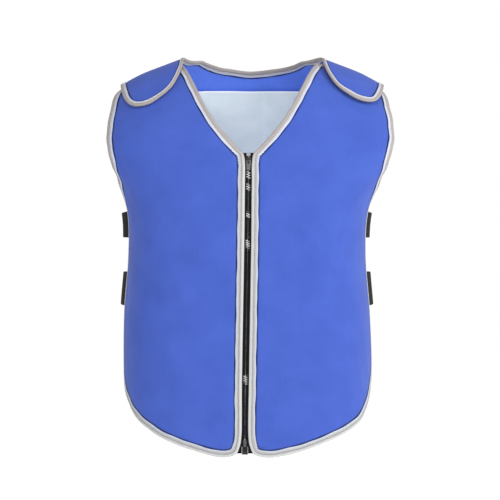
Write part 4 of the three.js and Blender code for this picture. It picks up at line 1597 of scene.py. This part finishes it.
@dataclass(frozen=True, kw_only=True)
class Lining:
    """Pale lining inside the back, with a whiter hem and a seam down its middle."""

    cloth: Cloth
    finishes: Finishes
    # degrees out from the middle, share of the length, steps to the next row
    rows: tuple[tuple[float, float, int], ...] = (
        (0.0, 0.0956, 3),
        (16.4, 0.0695, 3),
        (30.0, 0.042, 1),
        (37.0, 0.034, 1),
        (42.0, 0.055, 1),
        (44.5, 0.16, 2),
        (51.5, 0.29, 2),
        (61.5, 0.37, 1),
        (64.5, 0.5, 3),
        (64.5, 0.76, 1),
        (61.0, 0.83, 1),
        (54.0, 0.867, 2),
        (38.0, 0.91, 3),
        (16.0, 0.952, 2),
        (0.0, 0.96, 0),
    )
    armhole_row: int = 3
    across_steps: int = 14
    down_steps: int = 12
    fineness: int = 6
    ease: float = 3.1
    thickness: float = 1.0
    hem_mm: float = 2.6
    # the seam: place across, depth and width of its groove, and the ridges beside it
    seam_at: float = 14.0
    seam_depth: float = 0.8
    seam_width: float = 2.4
    ridge_height: float = 0.4
    ridge_at: float = 7.0
    ridge_width: float = 3.5
    # a painted highlight along the seam: how pale it is, and how wide that is
    seam_highlight: float = 0.18
    seam_highlight_width: float = 1.6
    # height and size of the wrinkles, and of the finer ones
    wrinkle: tuple[float, float] = (0.9, 75.0)
    fine_wrinkle: tuple[float, float] = (0.25, 26.0)

    def place(self, row: tuple[float, float, int], side: Side) -> tuple[float, float]:
        """Place of a row on one side."""
        form = self.cloth.form
        return side.value * row[0] * form.per_degree, form.along_of(row[1] * form.length, -1)

    def build(self) -> Any:
        """Make the lining.

        Returns:
            The lining.
        """
        cloth = self.cloth
        edge = whole_outline(self.rows, self.armhole_row, self.place, self.fineness)
        ring = inset(cloth.form, edge, self.hem_mm)
        across, down = self.across_steps * self.fineness, self.down_steps * self.fineness
        grid = loop_grid(ring, across, down)
        depth = cloth.thickness / 2 + self.ease + self.thickness / 2
        parts = []
        seam = np.abs(grid[..., 0] - self.seam_at)
        ridge = self.ridge_height * np.exp(-(((seam - self.ridge_at) / self.ridge_width) ** 2))
        dent = -self.seam_depth * np.exp(-((seam / self.seam_width) ** 2)) + ridge
        wrinkle = self.wrinkle[0] * soft_waves(grid, self.wrinkle[1], 3)
        wrinkle = wrinkle + self.fine_wrinkle[0] * soft_waves(grid, self.fine_wrinkle[1], 4)
        depth_span = np.linspace(0, 1, grid.shape[1])[None, :]
        calm = np.minimum(1, 6 * np.minimum(depth_span, 1 - depth_span))
        point, _ = cloth.surface(grid, cloth.back_layer(grid) - depth + (wrinkle - 0.5) * calm + dent * calm)
        # pale line along the seam, through the hem attribute: a painted highlight of the crease
        mark = self.seam_highlight * np.exp(-((seam / self.seam_highlight_width) ** 2))
        parts.append(mapped_grid(point, grid, {"hem": mark}))
        share = np.linspace(0, 1, 4)
        loops = [ring + (edge - ring) * s for s in share]
        rim = np.array([np.concatenate([loop, loop[:1]]) for loop in loops])
        rim_point, _ = cloth.surface(rim, cloth.back_layer(rim) - depth)
        white = np.repeat(np.minimum(share * 3, 1)[:, None], rim.shape[1], axis=1)
        parts.append(mapped_grid(rim_point, rim, {"hem": white}))
        piece = finish_piece("lining_cloth", parts, self.finishes.lining, ["back_lining"])
        wall = piece.modifiers.new("wall", "SOLIDIFY")
        wall.thickness = self.thickness * MM
        wall.offset = 0.0
        return piece


@dataclass(frozen=True)
class ZipLine:
    """Course of the zip's middle on the front, in millimetres."""

    cloth: Cloth
    opening: float = 10.4
    drift: float = 5.5
    top: float = 157.0
    foot: float = 7.0
    tape_reach: float = 16.0
    tape: float = 0.8
    chain_width: float = 6.0
    chain_thickness: float = 2.6
    chain_top: float = 166.2
    chain_bottom: float = 599.3

    @property
    def layer(self) -> float:
        """Layer of the teeth, behind the bound front edges."""
        return -(self.cloth.outside + self.cloth.gap + self.tape / 2)

    def across(self, distance: float, drop: float) -> float:
        """Cloth length across at a distance from the zip's middle.

        Args:
            distance: Distance from the zip's middle, positive on the wearer's left.
            drop: Depth below the shoulder line.

        Returns:
            The cloth length across.
        """
        form = self.cloth.form
        wander = self.drift * float(smooth((drop - self.top) / (form.length - self.top)))
        spread = (1 + 3 * form.squareness) / (1 - form.squareness)
        lean = float(form.column("lean", drop))
        half = float(form.column("half", drop))
        return (distance - wander - form.chest_half * lean) / (half * spread)

    def places(self, distance: float, drops: np.ndarray) -> np.ndarray:
        """Places at a distance beside the zip's middle, for each depth."""
        form = self.cloth.form
        return np.array([(self.across(distance, drop), form.along_of(drop, 1)) for drop in drops])


@dataclass(frozen=True, kw_only=True)
class Zip:
    """Tapes, teeth, stops, slider and pull."""

    line: ZipLine
    finishes: Finishes
    pitch: float = 3.4
    tooth_bite: float = 0.9
    # along the zip as a share of the pitch, how far the root tapers in width and height, rounding
    tooth_share: float = 0.42
    root_width: float = 0.78
    root_height: float = 0.8
    tooth_rounding: float = 0.42
    sleeve_top: float = 589.5
    sleeve_rounding: float = 0.5
    # rounding of hard edges, and the angle in degrees from which an edge is hard
    edge_rounding: float = 0.2
    hard_angle: float = 35.0
    # the retainer box: width of its side bars, how much taller its middle is, how deep that sinks
    bar_width: float = 1.15
    middle_stretch: float = 1.14
    middle_depth: float = 0.7
    # the closed row twists a little, so that light catches some runs of teeth: degrees, period, phase
    twists: tuple[tuple[float, float, float], ...] = ((7.0, 14.0, 0.0), (5.0, 31.0, 1.0))
    # where crests of teeth are drawn pale, to stand for glints: depth, and how far it reaches
    painted_glints_at: tuple[tuple[float, float], ...] = (
        (186, 7),
        (203, 6),
        (246, 6),
        (290, 8),
        (497, 8),
    )

    def build(self) -> list[Any]:
        """Make the zip's pieces.

        Returns:
            The pieces.
        """
        pieces = [self.tape(side) for side in Side]
        pieces += [self.teeth(), self.sleeve()]
        finishes = self.finishes
        for node, material in (
            ("zip_slider", finishes.slider),
            ("zip_pull", finishes.pull),
            ("zip_box", finishes.stop),
            ("zip_top_stop_right", finishes.stop),
            ("zip_top_stop_left", finishes.stop),
        ):
            pieces.append(self.softened(node, material))
        return pieces

    def tape(self, side: Side) -> Any:
        """Make one woven tape with a thicker cord at the teeth.

        Args:
            side: Side of the wearer.

        Returns:
            The piece.
        """
        line, cloth = self.line, self.line.cloth
        drops = np.linspace(line.top, cloth.form.length - line.foot, 120)
        # distance from the middle and half thickness of the tape there: a cord lies inside the teeth
        across = ((0.35, 0.28), (2.6, 0.28), (3.4, 0.55), (4.6, 0.6), (5.4, 0.36), (line.tape_reach, 0.36))
        profile = [*across, *[(distance, -half) for distance, half in reversed(across)], across[0]]
        rings, marks = [], []
        for distance, height in profile:
            place = line.places(side.value * distance, drops)
            point, normal = cloth.surface(place, np.full(len(place), line.layer))
            rings.append(point + normal * height)
            marks.append(np.stack([drops, np.full(len(drops), distance)], axis=1))
        mesh = mapped_grid(np.array(rings).transpose(1, 0, 2), np.array(marks).transpose(1, 0, 2))
        name = f"zip_tape_{side.word}"
        piece = finish_piece(name + "_woven", [mesh], self.finishes.zip_tape, [name])
        close_ends(piece)
        return piece

    def tooth(self) -> Any:
        """Make one moulded tooth: a block that clasps the tape's cord, with a rounded head.

        Returns:
            A mesh in millimetres.
        """
        line = self.line
        half = line.chain_width / 2
        made = bmesh.new()
        bmesh.ops.create_cube(made, size=1.0)
        size = (half + self.tooth_bite, self.pitch * self.tooth_share, line.chain_thickness)
        bmesh.ops.scale(made, vec=size, verts=made.verts)
        bmesh.ops.translate(made, vec=((half - self.tooth_bite) / 2, 0, 0), verts=made.verts)
        for vert in made.verts:
            if vert.co.x < 0:
                vert.co.y *= self.root_width
                vert.co.z *= self.root_height
        bmesh.ops.bevel(
            made,
            geom=made.edges[:],
            offset=self.tooth_rounding,
            segments=2,
            affect="EDGES",
            profile=0.5,
            material=-1,
        )
        return mesh_of(made, "tooth")

    def teeth(self) -> Any:
        """Make the closed row of teeth, left and right by turns.

        Returns:
            The piece.
        """
        line, cloth = self.line, self.line.cloth
        source = self.tooth()
        count = int((self.sleeve_top - line.chain_top - 1.5) / (self.pitch / 2))
        drops = line.chain_top + 1.0 + self.pitch / 2 * np.arange(count)
        place = line.places(0.0, drops)
        point, normal = cloth.surface(place, np.full(count, line.layer))
        chance = np.random.default_rng(11)
        # pale crests on chosen runs of teeth: painted glints
        near = [np.exp(-(((drops - at) / wide) ** 2)) for at, wide in self.painted_glints_at]
        pale_tone_and_glint = np.clip(np.max(near, axis=0) * 1.8 - chance.uniform(0.1, 1.2, count), 0.0, 0.85)
        copies: dict[int, list[Matrix]] = {1: [], -1: []}
        for k in range(count):
            side = -1 if k % 2 else 1
            down = Vector(point[min(k + 1, count - 1)] - point[max(k - 1, 0)]).normalized()
            out = Vector(normal[k])
            right = out.cross(-down).normalized() * -1
            turn = Matrix((right, -down, right.cross(-down))).transposed().to_4x4()
            sway = sum(angle * math.sin(drops[k] / period + phase) for angle, period, phase in self.twists)
            tilt = Matrix.Rotation(math.radians(sway), 4, "X")
            half_turn = Matrix.Rotation(0.0 if side > 0 else math.pi, 4, "Z")
            copies[side].append(Matrix.Translation(Vector(point[k])) @ turn @ tilt @ half_turn)
        parts = [
            scattered(source, places, pale_tone_and_glint[0 if side > 0 else 1 :: 2]) for side, places in copies.items()
        ]
        bpy.data.meshes.remove(source)
        return finish_piece(
            "zip_teeth", parts, self.finishes.teeth, ["zip_chain"], weld=False
        )

    def softened(self, node: str, material: Any) -> Any:
        """Stand in for a hard node with a copy whose edges are rounded.

        Args:
            node: Node of the frame.
            material: Finish.

        Returns:
            The piece.
        """
        made = bmesh.new()
        made.from_mesh(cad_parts[node].data)
        bmesh.ops.remove_doubles(made, verts=made.verts, dist=0.01 * MM)
        bmesh.ops.dissolve_limit(made, angle_limit=math.radians(4), verts=made.verts, edges=made.edges)
        if node == "zip_box":
            self.sink_middle(made)
        mesh = mesh_of(made, node + "_part")
        body = "pull" if node == "zip_pull" else "vest"
        piece = finish_piece(node + "_part", [mesh], material, [node], body=body, weld=False)
        piece.data.materials.append(self.finishes.teeth)
        rounding = piece.modifiers.new("rounding", "BEVEL")
        rounding.width = self.edge_rounding * MM
        rounding.segments = 2
        rounding.limit_method = "ANGLE"
        rounding.angle_limit = math.radians(self.hard_angle)
        return piece

    def sink_middle(self, made: Any) -> None:
        """Sink the middle of the retainer box between its two side bars.

        Args:
            made: The box, as a bmesh.
        """
        face = min(made.faces, key=lambda f: f.normal.y * f.calc_area())
        made.faces.ensure_lookup_table()
        bmesh.ops.inset_region(made, faces=[face], thickness=self.bar_width * MM, depth=0.0)
        middle = face.calc_center_median()
        for vert in face.verts:
            vert.co.z = middle.z + (vert.co.z - middle.z) * self.middle_stretch
        bmesh.ops.translate(made, vec=(0, self.middle_depth * MM, 0), verts=face.verts)
        face.material_index = 1

    def sleeve(self) -> Any:
        """Make the pin's sleeve, a small moulded block over the last teeth above the retainer box.

        Returns:
            The piece.
        """
        line, cloth = self.line, self.line.cloth
        drops = np.array([self.sleeve_top, line.chain_bottom - 0.6])
        point, normal = cloth.surface(line.places(0.0, drops), np.full(2, line.layer))
        middle, way = Vector(point.mean(axis=0)), Vector(point[0] - point[1])
        out = Vector(normal.mean(axis=0)).normalized()
        right = way.normalized().cross(out).normalized()
        turn = Matrix((right, way.normalized(), right.cross(way.normalized()))).transposed().to_4x4()
        size = Matrix.Diagonal((line.chain_width - 0.4, way.length, line.chain_thickness + 0.7, 1.0))
        made = bmesh.new()
        place = Matrix.Scale(MM, 4) @ Matrix.Translation(middle) @ turn @ size
        bmesh.ops.create_cube(made, size=1.0, matrix=place)
        bmesh.ops.bevel(
            made,
            geom=made.edges[:],
            offset=self.sleeve_rounding * MM,
            segments=2,
            affect="EDGES",
            profile=0.5,
            material=-1,
        )
        mesh = mesh_of(made, "sleeve")
        return finish_piece("zip_pin_sleeve", [mesh], self.finishes.sleeve, [], weld=False)


@dataclass(frozen=True)
class Strap:
    """One elastic side strap between front and back, in millimetres."""

    level: str
    drop: float
    front: float
    back: float
    bulge_right: float
    bulge_left: float


@dataclass(frozen=True, kw_only=True)
class Straps:
    """Two elastic straps on each side, that bow outwards between the panels."""

    cloth: Cloth
    finishes: Finishes
    thickness: float = 1.6
    seat: float = 1.15
    tuck: float = 3.4
    clear: float = 0.07
    front_edge: float = 87.0
    back_edge: float = 110.0
    straps: tuple[Strap, ...] = (
        Strap("upper", 258, 43, 40, 18, 15),
        Strap("lower", 361, 56, 48, 15, 15),
    )

    def girth(self, angle: float, drop: float, side: Side) -> tuple[np.ndarray, np.ndarray]:
        """Point and normal of the form at an angle round from the front.

        Args:
            angle: Degrees from the front middle.
            drop: Depth below the shoulder line.
            side: Side of the wearer.

        Returns:
            The point and the outward normal.
        """
        form = self.cloth.form
        facing = 1 if angle <= form.side_turn else -1
        turn = angle if facing > 0 else 2 * form.side_turn - angle
        place = np.array([side.value * turn * form.per_degree]), np.array([form.along_of(drop, facing)])
        point, normal, _, _ = form.frame(*place)
        return point[0], normal[0]

    def build(self) -> list[Any]:
        """Make the four straps."""
        return [self.strap(strap, side) for strap in self.straps for side in Side]

    def strap(self, strap: Strap, side: Side) -> Any:
        """Make one strap: a flat band with rounded selvedges.

        Args:
            strap: Its sizes.
            side: Side of the wearer.

        Returns:
            The piece.
        """
        bulge = strap.bulge_left if side is Side.LEFT else strap.bulge_right
        under = -(self.cloth.outside + self.seat + self.thickness / 2)
        first, last = self.front_edge - self.tuck, self.back_edge + self.tuck
        half = self.thickness / 2
        # share of the half width, and height
        across = (
            (-1.0, 0.0),
            (-0.985, 0.6),
            (-0.93, 0.95),
            (-0.5, 1.0),
            (0.0, 1.0),
            (0.5, 1.0),
            (0.93, 0.95),
            (0.985, 0.6),
        )
        profile = [*across, (1.0, 0.0), *[(-share, -height) for share, height in across[1:]], across[0]]
        rings, marks = [], []
        run, before = 0.0, None
        for i in range(61):
            angle = first + (last - first) * i / 60
            opened = (angle - self.front_edge) / (self.back_edge - self.front_edge)
            free = min(max((opened - self.clear) / (1 - 2 * self.clear), 0), 1)
            out = bulge * math.sin(math.pi * free) ** 1.5
            wide = (strap.front + (strap.back - strap.front) * float(smooth(opened))) / 2
            ring, mark = [], []
            for share, height in profile:
                point, normal = self.girth(angle, strap.drop + share * wide, side)
                ring.append(point + normal * (under + out + height * half))
            middle = ring[4]
            run += 0.0 if before is None else float(np.linalg.norm(middle - before))
            before = middle
            for share, _ in profile:
                mark.append((run, share * wide))
            rings.append(ring)
            marks.append(mark)
        mesh = mapped_grid(np.array(rings), np.array(marks))
        name = f"strap_{strap.level}_{side.word}"
        piece = finish_piece(name + "_web", [mesh], self.finishes.strap, [name])
        close_ends(piece)
        return piece


@dataclass(frozen=True)
class Studio:
    """Pale floor, soft light and the camera of the photograph."""

    eye: tuple[float, float, float] = (0.0024, -2.5, -0.2992)
    lens: float = 112.5
    floor: float = -0.9

    def build(self) -> None:
        """Make floor, lights, world and camera."""
        made = bmesh.new()
        bmesh.ops.create_grid(made, x_segments=1, y_segments=1, size=14.0)
        mesh = mesh_of(made, "floor")
        material, _, shader = new_material("pale studio floor")
        shader.inputs["Base Color"].default_value = linear("#EDEDED")
        shader.inputs["Roughness"].default_value = 0.95
        shader.inputs["Emission Color"].default_value = (1.0, 1.0, 1.0, 1.0)
        shader.inputs["Emission Strength"].default_value = 0.46
        mesh.materials.append(material)
        floor = bpy.data.objects.new("floor", mesh)
        floor.location.z = self.floor
        bpy.context.scene.collection.objects.link(floor)
        self.light("key", (2.7, -1.9, 0.9), 1.2, 66.0)
        self.light("front", (0.25, -2.6, 2.1), 0.7, 32.0)
        self.light("low", (0.1, -3.1, -0.3), 1.0, 15.0)
        self.sky()
        scene = bpy.context.scene
        scene.view_settings.view_transform = "Standard"
        camera = bpy.data.cameras.new("camera")
        camera.lens = self.lens
        camera.sensor_width = 36.0
        camera.clip_end = 50.0
        eye = bpy.data.objects.new("camera", camera)
        eye.location = self.eye
        eye.rotation_euler = (math.pi / 2, 0.0, 0.0)
        scene.collection.objects.link(eye)
        scene.camera = eye

    def sky(self) -> None:
        """Surround the vest with white that is weaker overhead and on the wearer's right."""
        world = bpy.data.worlds.new("studio")
        world.use_nodes = True
        tree = world.node_tree
        place = add_node(tree, "ShaderNodeTexCoord").outputs["Generated"]
        split = add_node(tree, "ShaderNodeSeparateXYZ", None, Vector=place)
        height = split.outputs[2]
        level = add_node(tree, "ShaderNodeMapRange", {1: 0.2, 2: 0.75, 3: 1.01, 4: 0.5}, in0=height)
        away = add_node(
            tree, "ShaderNodeMapRange", {1: -1.0, 2: -0.3, 3: 0.88, 4: 1.0}, in0=split.outputs[0]
        )
        both = add_node(
            tree,
            "ShaderNodeMath",
            {"operation": "MULTIPLY"},
            in0=level.outputs["Result"],
            in1=away.outputs["Result"],
        )
        background = tree.nodes["Background"]
        background.inputs[0].default_value = (1.0, 1.0, 1.0, 1.0)
        tree.links.new(both.outputs[0], background.inputs[1])
        bpy.context.scene.world = world

    def light(self, name: str, place: tuple[float, float, float], size: float, power: float) -> None:
        """Hang a soft square light that faces the vest.

        Args:
            name: Name of the light.
            place: Where it hangs, in metres.
            size: Side of its face.
            power: Watts.
        """
        lamp = bpy.data.lights.new(name, "AREA")
        lamp.size = size
        lamp.energy = power
        holder = bpy.data.objects.new(name, lamp)
        holder.location = place
        aim = Vector((0.0, 0.0, -0.3)) - Vector(place)
        holder.rotation_euler = aim.to_track_quat("-Z", "Y").to_euler()
        bpy.context.scene.collection.objects.link(holder)


def main() -> None:
    """Build the vest piece by piece."""
    logging.basicConfig(level=logging.INFO, format="%(message)s")
    Studio().build()
    finishes = Finishes()
    cloth = Cloth(WornForm())
    line = ZipLine(cloth)
    for side in Side:
        FrontPanel(cloth=cloth, finishes=finishes, zip_line=line, side=side).build()
    BackPanel(cloth=cloth, finishes=finishes).build()
    Lining(cloth=cloth, finishes=finishes).build()
    Zip(line=line, finishes=finishes).build()
    Straps(cloth=cloth, finishes=finishes).build()


if __name__ == "__main__":
    main()
